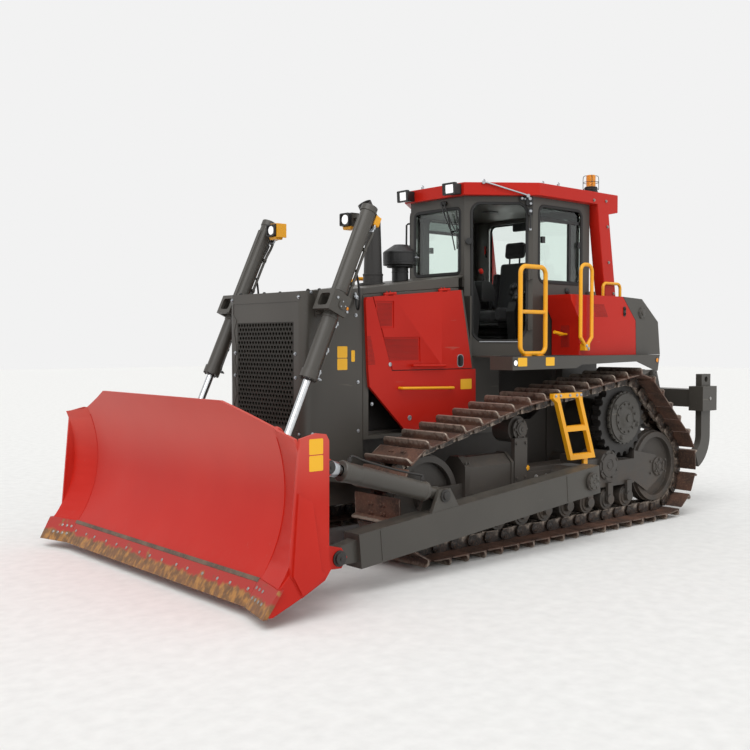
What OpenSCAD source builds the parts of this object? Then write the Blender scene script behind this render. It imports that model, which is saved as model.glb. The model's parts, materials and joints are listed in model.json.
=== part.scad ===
// Crawler tractor with an elevated sprocket, a semi-U blade and a parallelogram ripper.
// +X is forward, +Y is the machine's left, +Z is up. Z = 0 is the ground under the grousers.
// X = 0 is the middle of the whole machine and Y = 0 its plane of symmetry. Millimetres.

/* [Machine] */
// Length from the end bits of the blade to the ripper pockets
overall_len = 6850; // [6700:10:7200]
// Distance between the middles of the two tracks
track_gauge = 1980; // [1900:10:2200]
// Height of the platform over the ground
platform_z = 1757; // [1700:1:1850]
// Half width of the engine hood
hood_half_w = 560; // [500:5:600]

/* [Undercarriage] */
// Width of a track shoe
shoe_w = 560; // [460:10:610]
// Nominal length of one track link
track_pitch = 216; // [190:1:230]
// Height of the grouser bar over its shoe
grouser_h = 62; // [40:1:75]
// Front idler's centre along X
front_idler_x = 1234; // [1150:1:1300]
// Rear idler's centre along X
rear_idler_x = -2196; // [-2250:1:-2100]
// Radius of an idler's tread
idler_r = 372; // [340:1:390]
// Sprocket's centre along X
sprocket_x = -1626; // [-1700:1:-1550]
// Sprocket's centre over the ground
sprocket_z = 1100; // [1050:1:1200]
// Number of sprocket teeth, two to a link
sprocket_teeth = 23; // [21:2:27]
// Carrier roller's centre along X
carrier_x = 85; // [-100:1:200]
// Carrier roller's centre over the ground
carrier_z = 1085; // [1040:1:1120]
// Radius of the carrier roller's tread
carrier_r = 125; // [100:1:140]
// Radius of a bottom roller's tread
roller_r = 112; // [95:1:120]
// Number of bottom rollers on a side
roller_count = 8; // [6:1:9]
// Pivot shaft's centre along X
pivot_x = -1276; // [-1350:1:-1200]
// Pivot shaft's centre over the ground
pivot_z = 640; // [600:1:680]

/* [Blade] */
// Half width of the blade over its end plates
blade_half_w = 1815; // [1700:5:1900]
// Height of the moldboard's middle over the cutting edge's tip
blade_h = 1388; // [1200:2:1500]
// Cutting edge's tip over the ground as the tractor is parked
blade_ground_gap = 76; // [20:1:200]
// Depth of the moldboard's curve
blade_sag = 200; // [120:5:240]
// Angle of the wings
wing_angle = 15; // [8:1:20]
// Distance of the wing folds from the middle
fold_y = 1470; // [1350:5:1550]
// Moldboard plate thickness
moldboard_t = 24; // [16:1:35]
// Push arm trunnion along X
trunnion_x = -476; // [-560:1:-400]
// Push arm trunnion over the ground
trunnion_z = 590; // [560:1:620]
// Width of a push arm
arm_w = 180; // [140:5:200]
// Height of a push arm
arm_h = 262; // [200:2:300]
// Blade hinge pin behind the moldboard's foot
blade_pin_back = 655; // [600:1:720]
// Blade hinge pin over the ground
blade_pin_z = 309; // [280:1:340]

/* [Cylinders] */
// Distance of the lift cylinders from the middle
lift_y = 733; // [720:1:760]
// Outer diameter of a lift cylinder barrel
lift_barrel_d = 130; // [110:2:145]
// Diameter of a lift cylinder rod
lift_rod_d = 66; // [50:2:80]
// Outer diameter of a tilt cylinder barrel
tilt_barrel_d = 150; // [120:2:160]
// Diameter of a tilt cylinder rod
tilt_rod_d = 76; // [60:2:90]

/* [Cab] */
// Half width of the windshield at its pillars
cab_front_half_w = 380; // [340:5:420]
// Half width of the cab behind its angled sides
cab_half_w = 800; // [760:5:840]
// Front of the cab along X
cab_front_x = 54; // [20:1:80]
// Corner between angled side and straight side along X
cab_mid_x = -476; // [-540:1:-420]
// Rear of the cab along X
cab_rear_x = -1376; // [-1420:1:-1340]
// Underside of the roof over the ground
roof_z = 3310; // [3250:1:3360]
// Thickness of the roof
roof_t = 125; // [100:1:150]

/* [Ripper] */
// Half width of the ripper beam
ripper_half_w = 1090; // [950:5:1150]
// Underside of the ripper beam over the ground as parked
ripper_beam_z = 1100; // [1050:1:1200]
// Spacing of the three shanks
shank_pitch = 1000; // [850:5:1040]

/* [Hidden] */
$fn = 48;

red = "firebrick";
grey = "dimgray";
yellow = "gold";
steel = "silver";

seat_gap = 0.3;          // gap left between pieces of different bodies that rest on each other
run_gap = 10;            // gap between moving panels and what they pass
track_y = track_gauge / 2;
shoe_outer_y = track_y + shoe_w / 2;

// ---------- shared shapes ----------
// A side outline, drawn with X and Z, as a plate between two places along Y.
module plate_y(y0, y1, pts) {
    rotate([90, 0, 0]) translate([0, 0, -y1]) linear_extrude(y1 - y0) polygon(pts);
}
// The same plate from any flat drawing.
module slab_y(y0, y1) {
    rotate([90, 0, 0]) translate([0, 0, -y1]) linear_extrude(y1 - y0) children();
}
// A round bar along Y.
module bar_y(x, z, r, y0, y1) {
    translate([x, y1, z]) rotate([90, 0, 0]) cylinder(r = r, h = y1 - y0);
}
// A block from two opposite corners.
module block(a, b) {
    translate(a) cube([b[0] - a[0], b[1] - a[1], b[2] - a[2]]);
}
// A flat rectangle with round corners.
module pane(a, b, r) {
    translate([a[0] + r, a[1]]) square([b[0] - a[0] - 2 * r, b[1] - a[1]]);
    translate([a[0], a[1] + r]) square([b[0] - a[0], b[1] - a[1] - 2 * r]);
    for (x = [a[0] + r, b[0] - r]) for (y = [a[1] + r, b[1] - r]) translate([x, y]) circle(r = r);
}
module both_sides() {
    children();
    mirror([0, 1, 0]) children();
}
// A round bar between two points.
module bar(a, b, r) {
    v = b - a;
    l = norm(v);
    translate(a) rotate([0, acos(v[2] / l), atan2(v[1], v[0])]) cylinder(r = r, h = l);
}
function unit(v) = v / norm(v);
// How much a bend shortens the straight runs on both its sides.
function bend_trim(a, p, b, bend) =
    let (cosine = unit(p - a) * unit(b - p)) bend * tan(acos(max(-1, min(1, cosine))) / 2);
// A quarter-like elbow at p between the runs from a and to b.
module elbow(a, p, b, r, bend) {
    u = unit(p - a);
    v = unit(b - p);
    n = unit(v - (u * v) * u);
    c = p - u * bend_trim(a, p, b, bend) + n * bend;
    z = cross(-n, u);
    multmatrix([[-n[0], u[0], z[0], c[0]], [-n[1], u[1], z[1], c[1]], [-n[2], u[2], z[2], c[2]], [0, 0, 0, 1]])
        rotate_extrude(angle = acos(u * v)) translate([bend, 0]) circle(r = r);
}
// A tube along the points, its corners bent to a radius.
module tube(pts, r, bend) {
    last = len(pts) - 1;
    for (i = [0 : last - 1]) {
        u = unit(pts[i + 1] - pts[i]);
        t0 = i == 0 ? 0 : bend_trim(pts[i - 1], pts[i], pts[i + 1], bend);
        t1 = i == last - 1 ? 0 : bend_trim(pts[i], pts[i + 1], pts[i + 2], bend);
        bar(pts[i] + u * t0, pts[i + 1] - u * t1, r);
    }
    for (i = [1 : 1 : last - 1]) elbow(pts[i - 1], pts[i], pts[i + 1], r, bend);
}

// ---------- track loop ----------
rail_in = 58;            // pin line to the rail that rollers run on
rail_out = 46;           // pin line to the underside of the shoe
shoe_t = 13;             // shoe plate
pin_line_z = grouser_h + shoe_t + rail_out;
idler_z = pin_line_z + idler_r + rail_in;
// Wheels that the loop runs round, counter-clockwise from the rear idler: X, Z, pin line radius.
wheels = [
    [rear_idler_x, idler_z, idler_r + rail_in],
    [front_idler_x, idler_z, idler_r + rail_in],
    [carrier_x, carrier_z, carrier_r + rail_in],
    [sprocket_x, sprocket_z, sprocket_teeth / 2 * track_pitch / (2 * PI)]];
wheel_n = len(wheels);
// Direction of the straight run that leaves wheel i.
function run_angle(i) =
    let (a = wheels[i % wheel_n], b = wheels[(i + 1) % wheel_n], d = [b[0] - a[0], b[1] - a[1]])
    atan2(d[1], d[0]) + asin((a[2] - b[2]) / norm(d));
function out_point(i, ang) =
    let (w = wheels[i % wheel_n]) [w[0] + w[2] * sin(ang), w[1] - w[2] * cos(ang)];
function sweep(i) = (run_angle(i) - run_angle((i + wheel_n - 1) % wheel_n) + 720) % 360;
function arc_len(i) = wheels[i % wheel_n][2] * sweep(i % wheel_n) * PI / 180;
function run_len(i) = norm(out_point(i + 1, run_angle(i)) - out_point(i, run_angle(i)));
// Length of the loop up to the start of the arc on wheel i.
function upto(i) = i == 0 ? 0 : upto(i - 1) + arc_len(i - 1) + run_len(i - 1);
loop_len = upto(wheel_n);
link_n = round(loop_len / track_pitch);
link_len = loop_len / link_n;
// Place on the loop at distance s: X, Z, direction of travel.
function on_loop(s, i = 0) =
    s >= upto(i + 1) && i < wheel_n - 1 ? on_loop(s, i + 1) :
    let (t = s - upto(i), a0 = run_angle((i + wheel_n - 1) % wheel_n))
    t < arc_len(i)
        ? let (ang = a0 + t / wheels[i][2] * 180 / PI, p = out_point(i, ang)) [p[0], p[1], ang]
        : let (ang = run_angle(i), p = out_point(i, ang), u = t - arc_len(i))
          [p[0] + u * cos(ang), p[1] + u * sin(ang), ang];
// A point beside place p of the loop: along the travel, and outward.
function beside(p, along, out) =
    [p[0] + along * cos(p[2]) + out * sin(p[2]), p[1] + along * sin(p[2]) - out * cos(p[2])];
links = [for (k = [0 : link_n - 1]) on_loop((k + 0.5) * link_len)];
// The loop drawn in by an inset. Its corners on the wheels lie round them, so that a wheel of that radius fits.
arc_step = 8;
function arc_at(i, ang, r) = [wheels[i][0] + r * sin(ang), wheels[i][1] - r * cos(ang)];
function arc_outline(i, inset) =
    let (a0 = run_angle((i + wheel_n - 1) % wheel_n), n = ceil(sweep(i) / arc_step), step = sweep(i) / n, r = wheels[i][2] - inset)
    [arc_at(i, a0, r), for (k = [0 : n - 1]) arc_at(i, a0 + (k + 0.5) * step, r / cos(step / 2)), arc_at(i, a0 + sweep(i), r)];
module loop_outline(inset) {
    polygon([for (i = [0 : wheel_n - 1]) for (p = arc_outline(i, inset)) p]);
}
// One shoe's outline: along the travel, and outward, with its grouser at the trailing end.
shoe_gap = 8;
shoe_pts = [
    [-link_len / 2 + shoe_gap / 2, rail_out],
    [-link_len / 2 + shoe_gap / 2, rail_out + shoe_t + grouser_h],
    [-link_len / 2 + shoe_gap / 2 + 16, rail_out + shoe_t + grouser_h],
    [-link_len / 2 + shoe_gap / 2 + 28, rail_out + shoe_t],
    [link_len / 2 - shoe_gap / 2, rail_out + shoe_t],
    [link_len / 2 - shoe_gap / 2, rail_out]];

module track(y) {
    color("saddlebrown") {
        slab_y(y - shoe_w / 2, y + shoe_w / 2) difference() {
            polygon([for (p = links) for (q = shoe_pts) beside(p, q[0], q[1])]);
            polygon([for (p = links) for (a = [-1, 1]) beside(p, a * link_len / 4, rail_out - 6)]);
        }
        for (side = [-1, 1]) slab_y(y + side * 75 - 22, y + side * 75 + 22) difference() {
            polygon([for (p = links) for (a = [-1, 1]) beside(p, a * link_len / 4, rail_out)]);
            loop_outline(rail_in);
        }
        for (k = [0 : link_n - 1]) {
            p = on_loop(k * link_len);
            bar_y(p[0], p[1], 29, y - 80, y + 80);
        }
    }
}

// ---------- undercarriage ----------
module sprockets() {
    pin_r = wheels[3][2];
    // A pin of the chain that lies on the sprocket sets where its gaps between teeth go.
    seats = [for (k = [0 : link_n - 1]) let (s = k * link_len)
        if (s > upto(3) && s < upto(3) + arc_len(3)) on_loop(s)[2]];
    color(grey) both_sides() {
        slab_y(track_y - 48, track_y + 48) translate([sprocket_x, sprocket_z]) difference() {
            circle(r = pin_r + 4, $fn = 96);
            for (k = [0 : sprocket_teeth - 1])
                rotate(seats[0] - 90 + k * 360 / sprocket_teeth) translate([pin_r, 0]) circle(r = 36);
            circle(r = hub_r + seat_gap);
        }
    }
}

final_drive_r = 275;     // bolted cover of a final drive
hub_r = 149;             // hub that the sprocket ring sits on
axle_len = 330;          // axle housing between the rear case and the hub
cover_scallops = 24;
module final_drives() {
    color(grey) both_sides() {
        translate([sprocket_x, 0, sprocket_z]) rotate([-90, 0, 0]) {
            translate([0, 0, case_half_w + seat_gap]) cylinder(r = 190, h = axle_len);
            translate([0, 0, case_half_w + axle_len]) cylinder(r = hub_r, h = track_y + 70 - case_half_w - axle_len);
            // bolted cover with its scalloped rim, an inner ring and the plug in its middle
            translate([0, 0, track_y + 60]) cylinder(r = final_drive_r - 22, h = 46);
            translate([0, 0, track_y + 60]) linear_extrude(30) difference() {
                circle(r = final_drive_r, $fn = 96);
                for (k = [0 : cover_scallops - 1]) rotate((k + 0.5) * 360 / cover_scallops)
                    translate([final_drive_r + 8, 0]) circle(r = 20);
            }
            translate([0, 0, track_y + 106]) cylinder(r = 172, h = 10);
            translate([0, 0, track_y + 116]) cylinder(r1 = 120, r2 = 80, h = 22);
            translate([0, 0, track_y + 138]) cylinder(r = 42, h = 14);
        }
    }
}

frame_half_w = 118;
frame_y0 = track_y - frame_half_w;   // inner and outer face of a track frame's box
frame_y1 = track_y + frame_half_w;
frame_top = 715;
rail_z = pin_line_z + rail_in;
roller_z = rail_z + roller_r + seat_gap;
frame_bot = roller_z + roller_r + 14;
roller_first = front_idler_x - 560;
roller_last = rear_idler_x + 560;
function roller_x(k) = roller_first + (roller_last - roller_first) * k / (roller_count - 1);
idler_axle_r = 45;
roller_axle_r = 38;
pivot_r = 90;
trunnion_r = 62;
recoil_h = 323;
recoil_bevel = 84;
recoil_rise = 128;       // its underside over the frame's
// A length of the recoil spring's housing along X, grown outward and up.
module recoil_box(x0, x1, grow) {
    y1 = frame_y1 + 22 + grow;
    z0 = frame_bot + recoil_rise - grow;
    z1 = frame_bot + recoil_rise + recoil_h + grow;
    translate([x0, 0, 0]) rotate([90, 0, 90]) linear_extrude(x1 - x0) polygon([
        [frame_y0, z0], [y1, z0], [y1, z1 - recoil_bevel], [y1 - recoil_bevel, z1],
        [frame_y0 + recoil_bevel, z1], [frame_y0, z1 - recoil_bevel]]);
}
module track_frames() {
    color(grey) both_sides() difference() {
        union() {
            // box of the roller frame with its rear end plates round the rear idler
            plate_y(frame_y0, frame_y1, [
                [front_idler_x - 620, frame_bot], [front_idler_x - 620, frame_top],
                [pivot_x + 60, frame_top], [pivot_x - 60, frame_top - 45],
                [rear_idler_x + 430, frame_top - 45], [rear_idler_x + 430, frame_bot]]);
            for (y = [frame_y0, frame_y1 - 24]) plate_y(y, y + 24, [
                [rear_idler_x + 440, frame_top + 40], [rear_idler_x + 60, idler_z + 130],
                [rear_idler_x - 90, idler_z + 70], [rear_idler_x - 100, idler_z - 80],
                [rear_idler_x + 40, idler_z - 160], [rear_idler_x + 200, frame_bot - 110],
                [rear_idler_x + 440, frame_bot + 20]]);
            // bevelled housing of the recoil spring with its front flange, and the yoke of the front idler
            recoil_box(front_idler_x - 1020, front_idler_x - 470, 0);
            recoil_box(front_idler_x - 476, front_idler_x - 400, 14);
            recoil_box(front_idler_x - 1046, front_idler_x - 1016, 10);
            for (y = [frame_y0, frame_y1 - 24]) plate_y(y, y + 24, [
                [front_idler_x - 640, idler_z + 110], [front_idler_x - 60, idler_z + 90],
                [front_idler_x + 70, idler_z + 50], [front_idler_x + 70, idler_z - 70],
                [front_idler_x - 60, idler_z - 110], [front_idler_x - 640, frame_bot]]);
            // arms that hold the ends of the bottom rollers
            for (k = [0 : roller_count - 1]) for (s = [-1, 1])
                translate([roller_x(k) - 40, track_y + s * 133 - 16, roller_z - 45]) cube([80, 32, frame_bot + 40 - roller_z + 45]);
            // post of the carrier roller
            block([carrier_x - 88, frame_y1 - 12, frame_top - 120], [carrier_x + 88, frame_y1 + 30, carrier_z - 80]);
            bar_y(carrier_x, carrier_z, 92, frame_y1 - 12, frame_y1 + 22);
            bar_y(carrier_x, carrier_z, 66, frame_y1 + 20, frame_y1 + 40);
            // ledge behind the post
            block([pivot_x + 300, frame_y1 - 10, frame_top - 150], [carrier_x - 100, frame_y1 + 12, frame_top - 40]);
            // bosses of the pivot shaft and of the push arm trunnion
            bar_y(pivot_x, pivot_z, 150, frame_y0 - 20, frame_y1 + 30);
            bar_y(trunnion_x, trunnion_z, 120, frame_y1 - 20, arm_y0 - run_gap);
            bar_y(trunnion_x, trunnion_z, trunnion_r, frame_y1, arm_y1 + 12);
            bar_y(trunnion_x, trunnion_z, 85, arm_y1 + run_gap, arm_y1 + 30);
        }
        bar_y(pivot_x, pivot_z, pivot_r + seat_gap, 0, frame_y1 - 60);
        for (x = [front_idler_x, rear_idler_x]) bar_y(x, idler_z, idler_axle_r + seat_gap, 0, 2 * track_y);
        for (k = [0 : roller_count - 1]) bar_y(roller_x(k), roller_z, roller_axle_r + seat_gap, 0, 2 * track_y);
        bar_y(carrier_x, carrier_z, roller_axle_r + seat_gap, 0, frame_y1 + 20);
    }
}

module idlers() {
    color(grey) both_sides() for (x = [front_idler_x, rear_idler_x])
        translate([x, track_y, idler_z]) rotate([90, 0, 0]) {
            difference() {
                union() {
                    cylinder(r = idler_r - seat_gap, h = 176, center = true, $fn = 96);
                    cylinder(r = idler_r + 14, h = 92, center = true, $fn = 96);
                }
                for (s = [-1, 1]) translate([0, 0, s * 60]) difference() {
                    cylinder(r = idler_r - 60, h = 62, center = true, $fn = 96);
                    cylinder(r = 105, h = 64, center = true);
                }
            }
            cylinder(r = idler_axle_r, h = 2 * frame_half_w + 30, center = true);
            for (s = [-1, 1]) translate([0, 0, s * (frame_half_w + 9 + seat_gap)])
                cylinder(r = 96, h = 18, center = true);
        }
}

module track_rollers() {
    color(grey) both_sides() {
        for (k = [0 : roller_count - 1]) translate([roller_x(k), track_y, roller_z]) rotate([90, 0, 0]) {
            cylinder(r = roller_r, h = 204, center = true);
            cylinder(r = roller_r - 26, h = 230, center = true);
            cylinder(r = roller_axle_r, h = 308, center = true);
            for (s = [-1, 1]) translate([0, 0, s * 154]) cylinder(r = roller_axle_r + 14, h = 8, center = true);
        }
        translate([carrier_x, track_y, carrier_z]) rotate([90, 0, 0]) {
            cylinder(r = carrier_r - seat_gap, h = 204, center = true);
            cylinder(r = roller_axle_r, h = 2 * frame_half_w + 36, center = true);
        }
    }
}

// ---------- hull ----------
hull_half_w = 420;
belly_z = 470;
nose_x0 = 1509;
nose_x1 = 2154;
case_x0 = -2050;
case_half_w = 440;
equalizer_x = 120;
pull_x = nose_x1 + 40;   // pin of the front pull clevis, ahead of the nose so that it can be lifted out
pull_r = 25;
pull_ear = 30;
module pull_clevis() {
    difference() {
        for (z = [belly_z + 20, belly_z + 120]) block([nose_x1 - 70, -80, z], [pull_x + 60, 80, z + pull_ear]);
        translate([pull_x, 0, belly_z]) cylinder(r = pull_r, h = 200);
    }
}
module main_frame() {
    color(grey) {
        pull_clevis();
        block([case_x0, -hull_half_w, belly_z], [nose_x1 - 60, hull_half_w, belly_z + 150]);
        both_sides() plate_y(hull_half_w - 90, hull_half_w, [
            [case_x0, belly_z + 100], [case_x0, 1240], [-1150, 1240], [-900, 1090],
            [nose_x1 - 60, 1090], [nose_x1 - 60, belly_z + 100]]);
        // rear case that carries the final drives and the ripper
        plate_y(-case_half_w, case_half_w, [[case_x0, belly_z + 100], [case_x0, 1500], [case_x0 + 150, 1640],
            [-1250, 1640], [-1150, 1240], [-1150, belly_z + 100]]);
        // pivot shaft and front equalizer bar between the track frames
        bar_y(pivot_x, pivot_z, pivot_r, -(frame_y1 - 60 - seat_gap), frame_y1 - 60 - seat_gap);
        block([equalizer_x, -(frame_y0 - seat_gap), belly_z + 20],
            [equalizer_x + 140, frame_y0 - seat_gap, belly_z + 150]);
        // ears and pins for the ripper's arms, links and cylinders
        both_sides() {
            for (y = [ripper_y - 80, ripper_y + 80]) plate_y(y - 15, y + 15, [
                [case_x0 + 30, low_pin[1] - 70], [ear_x, low_pin[1] - 58], [ear_x - 58, low_pin[1]],
                [ear_x - 58, high_pin[1]], [ear_x, high_pin[1] + 58], [case_x0 + 30, high_pin[1] + 90]]);
            for (p = [low_pin, high_pin]) bar_y(p[0], p[1], pin_r, ripper_y - 94, ripper_y + 94);
            for (y = [ripper_cyl_y - 60, ripper_cyl_y + 60]) plate_y(y - 14, y + 14, [
                [case_x0 + 30, cyl_pin[1] - 70], [ear_x, cyl_pin[1] - 55], [ear_x - 55, cyl_pin[1]],
                [ear_x, cyl_pin[1] + 55], [case_x0 + 30, cyl_pin[1] + 70]]);
            bar_y(cyl_pin[0], cyl_pin[1], pin_r, ripper_cyl_y - 73, ripper_cyl_y + 73);
        }
    }
}

module engine_block() {
    color("darkslategray") block([380, -325, belly_z + 150 + seat_gap], [1480, 325, 1850]);
}

module radiator() {
    color("black") block([nose_x0 + 350, -470, 1090 + seat_gap], [nose_x0 + 480, 470, 2180]);
}

nose_top_z = 2310;
hood_top_z = 2522;
hood_x0 = 327;
module nose_outline(inset) {
    intersection() {
        translate([0, 0, 600]) linear_extrude(2000) {
            translate([nose_x0, -(hood_half_w - inset)])
                square([nose_x1 - nose_x0 - 70, 2 * (hood_half_w - inset)]);
            translate([nose_x0, -(hood_half_w - 70)])
                square([nose_x1 - nose_x0 - inset, 2 * (hood_half_w - 70)]);
            for (s = [-1, 1]) translate([nose_x1 - 70, s * (hood_half_w - 70)]) circle(r = 70 - inset);
        }
        plate_y(-hood_half_w, hood_half_w, [[nose_x0, 640 + inset], [nose_x1, 760 + inset],
            [nose_x1, nose_top_z - inset], [nose_x0, nose_top_z + 45 - inset]]);
    }
}
// Left edge of the opening in the nose's front, with Y and Z. It's scalloped beside the screen.
grille_edge = [[484, 2226], [484, 2128], [432, 2084], [474, 1984], [436, 1834], [466, 1722], [428, 1640],
    [464, 1540], [434, 1420], [484, 1310], [484, 1150]];
grille_n = len(grille_edge);
module grille_outline() {
    polygon([for (p = grille_edge) p, for (k = [grille_n - 1 : -1 : 0]) [-grille_edge[k][0], grille_edge[k][1]]]);
}
module radiator_guard() {
    color(grey) {
        difference() {
            union() {
                nose_outline(0);
                both_sides() lift_yoke();
            }
            block([nose_x0 - 1, -(hood_half_w - 30), 1090], [nose_x1 - 30, hood_half_w - 30, 2230]);
            translate([nose_x1 - 80, 0, 0]) rotate([90, 0, 90]) linear_extrude(81) grille_outline();
            block([nose_x0 - 1, -(hull_half_w + seat_gap), 600], [nose_x1 - 60 + seat_gap, hull_half_w + seat_gap, 1091]);
            both_sides() bar_y(lift_pivot[0], lift_pivot[2], lift_trunnion_r + 0.05,
                lift_y - yoke_in - yoke_ear - 1, lift_y + yoke_in + yoke_ear + 1);
        }
    }
}
// Collar on the side of the nose that a lift cylinder swings in.
yoke_in = 76;            // half the gap between its ears
yoke_ear = 28;           // thickness of an ear
yoke_w = 70;             // half width of an ear, across the cylinder
yoke_h = 88;             // half height of an ear, along the cylinder
yoke_front = lift_barrel_d / 2 + 27;    // its front wall, clear of the barrel as it swings
yoke_wall = 30;          // thickness of that wall
// Places its children at the pivot with Y along it and Z up along the cylinder.
module at_lift_collar() {
    translate(lift_pivot) rotate([0, atan2(-lift_dir[0], -lift_dir[2]), 0]) children();
}
module lift_yoke() {
    side = yoke_in + yoke_ear;
    at_lift_collar() {
        for (y = [-side, yoke_in]) translate([-yoke_w, y, -yoke_h]) cube([yoke_w + yoke_front + yoke_wall, yoke_ear, 2 * yoke_h]);
        translate([yoke_front, 0, 0]) rotate([90, 0, 90]) linear_extrude(yoke_wall) difference() {
            pane([-side, -yoke_h], [side, yoke_h], 20);
            pane([-yoke_in + 12, -yoke_h + 34], [yoke_in - 12, yoke_h - 34], 24);
        }
        // cap over the outer end of the pivot
        translate([0, side - 1, 0]) rotate([-90, 0, 0]) cylinder(r = lift_trunnion_r + 14, h = 9);
    }
    // foot on the side of the nose
    block([lift_pivot[0] - 130, hood_half_w - 8, lift_pivot[2] - 96], [lift_pivot[0] + 66, hood_half_w + 14, lift_pivot[2] + 96]);
    for (z = [-70, 46]) block([lift_pivot[0] - 60, hood_half_w, lift_pivot[2] + z], [lift_pivot[0] + 56, lift_y - yoke_in - 2, lift_pivot[2] + z + 24]);
}

// Perforated screen, with its holes in staggered rows.
screen_t = 24;
screen_pitch = 44;       // from one hole to the next in a row
screen_hole_r = 15;
screen_z0 = 1196;        // height of the lowest row
screen_rows = 23;
screen_cols = 19;
module radiator_grille() {
    color("dimgray") translate([nose_x1 - 28, 0, 0]) rotate([90, 0, 90]) linear_extrude(screen_t) difference() {
        offset(delta = -seat_gap) grille_outline();
        for (k = [0 : screen_rows - 1]) for (j = [0 : screen_cols - 1 - k % 2])
            translate([(j - (screen_cols - 1 - k % 2) / 2) * screen_pitch, screen_z0 + k * screen_pitch * sin(60)])
                circle(r = screen_hole_r, $fn = 24);
    }
}

function hood_base(x) = 2300 + (nose_x0 - x) * 0.0869;    // lower edge of the hood's sides at x
hood_plan = [[nose_x0 - seat_gap, hood_half_w], [hood_x0, hood_half_w], [cab_front_x + 6, cab_front_half_w],
    [cab_front_x + 6, -cab_front_half_w], [hood_x0, -hood_half_w], [nose_x0 - seat_gap, -hood_half_w]];
module hood() {
    color(grey) intersection() {
        difference() {
            plate_y(-hood_half_w, hood_half_w, [
                [nose_x0, hood_base(nose_x0)], [nose_x0, nose_top_z + 46], [cab_front_x, hood_top_z + 20],
                [cab_front_x, hood_base(cab_front_x)]]);
            plate_y(-(hood_half_w - 20), hood_half_w - 20, [
                [nose_x0 + 1, hood_base(nose_x0) - 20], [nose_x0 + 1, nose_top_z + 26], [cab_front_x + 40, hood_top_z - 5],
                [cab_front_x + 40, hood_base(cab_front_x) - 20]]);
        }
        translate([0, 0, 2000]) linear_extrude(1000) polygon(hood_plan);
    }
}

door_y0 = hood_half_w + 6;
door_t = 30;
cowl_y0 = hood_half_w - 25;
cowl_y1 = door_y0 - seat_gap;
cowl_x0 = 114;
module cowl() {
    color(grey) difference() {
        union() {
            both_sides() {
                // rails behind the edges of the doors and panels, and the ledge over the hull
                plate_y(cowl_y0, cowl_y1, [[nose_x0 - seat_gap, 2240], [nose_x0 - seat_gap, hood_base(nose_x0) - 6],
                    [hood_x0, hood_base(hood_x0) - 6], [hood_x0, 2330]]);
                plate_y(cowl_y0, hood_half_w, [[nose_x0 - seat_gap, 2270], [nose_x0 - seat_gap, hood_base(nose_x0) - seat_gap],
                    [hood_x0, hood_base(hood_x0) - seat_gap], [hood_x0, 2340]]);
                block([cowl_x0, cowl_y0, 1600], [nose_x0 - seat_gap, cowl_y1, 1660]);
                block([cowl_x0, hull_half_w + seat_gap, 1040], [nose_x0 - seat_gap, cowl_y1, 1070]);
                block([nose_x0 - 60, cowl_y0, 1050], [nose_x0 - seat_gap, cowl_y1, 2250]);
                plate_y(cowl_y0, cowl_y1, [[cowl_x0, 1050], [cowl_x0, 1640], [hood_x0 - 60, 2380], [hood_x0 + 20, 2380],
                    [cowl_x0 + 80, 1640], [cowl_x0 + 80, 1050]]);
            }
            // wall between the engine and the cab
            block([cowl_x0, -cowl_y0 - 1, 1100], [cowl_x0 + 20, cowl_y0 + 1, 2330]);
        }
        block([0, -700, 2397], [900, 700, 2600]);
    }
}

// Upper engine door: hung along its top edge. Its corners, with X and Z.
door_top_front = [1414, 2284];
door_top_rear = [322, 2378];
door_pts = [door_top_front, door_top_rear, [170, 1640], [1190, 1640]];
hinge_axis = unit([door_top_rear[0] - door_top_front[0], 0, door_top_rear[1] - door_top_front[1]]);
hinge_y = door_y0 + door_t - 8;
hinge_foot = [door_top_front[0], hinge_y, door_top_front[1] + 14];
hinge_pin_r = 6;
function hinge_at(d) = hinge_foot + hinge_axis * d;
hinge_places = [200, 880];
door_fields = [[[1387, 2246], [1175, 2251], [1175, 2013], [1364, 2011]], [[1305, 1932], [856, 1934], [849, 1707], [1240, 1709]]];
field_depth = 9;
handle_out = 34;         // handle's bar out from the door
function handle_at(e) = [560 + 420 * e, door_y0 + door_t + handle_out, 1668 + 8 * e];
// How far out the door's lower edge reaches over the platform as it swings up.
door_drop = door_top_rear[1] + 14 - door_pts[2][1];
door_clear_y = hinge_y + sqrt(pow(door_drop, 2) - pow(door_top_rear[1] + 14 - platform_z, 2)) + run_gap;
module engine_door_plate() {
    color(red) difference() {
        union() {
            difference() {
                plate_y(door_y0, door_y0 + door_t, door_pts);
                // pressed fields in the outer face
                for (f = door_fields) plate_y(door_y0 + door_t - field_depth, door_y0 + door_t + 1, f);
            }
            // bar handle on two feet
            bar(handle_at(0), handle_at(1), 13);
            for (e = [0.06, 0.94]) bar(handle_at(e), [handle_at(e)[0], door_y0 + door_t - 2, handle_at(e)[2]], 11);
            for (d = hinge_places) for (e = [[-70, -32], [32, 70]]) {
                bar(hinge_at(d + e[0]), hinge_at(d + e[1]), 12);
                translate([0, 0, -10]) bar(hinge_at(d + e[0]), hinge_at(d + e[1]), 8);
            }
        }
        for (d = hinge_places) bar(hinge_at(d - 90), hinge_at(d + 90), hinge_pin_r + 0.05);
        for (d = hinge_places) bar(hinge_at(d - 32), hinge_at(d + 32), 19);
    }
}
module engine_door_left() engine_door_plate();
module engine_door_right() mirror([0, 1, 0]) engine_door_plate();

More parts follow.
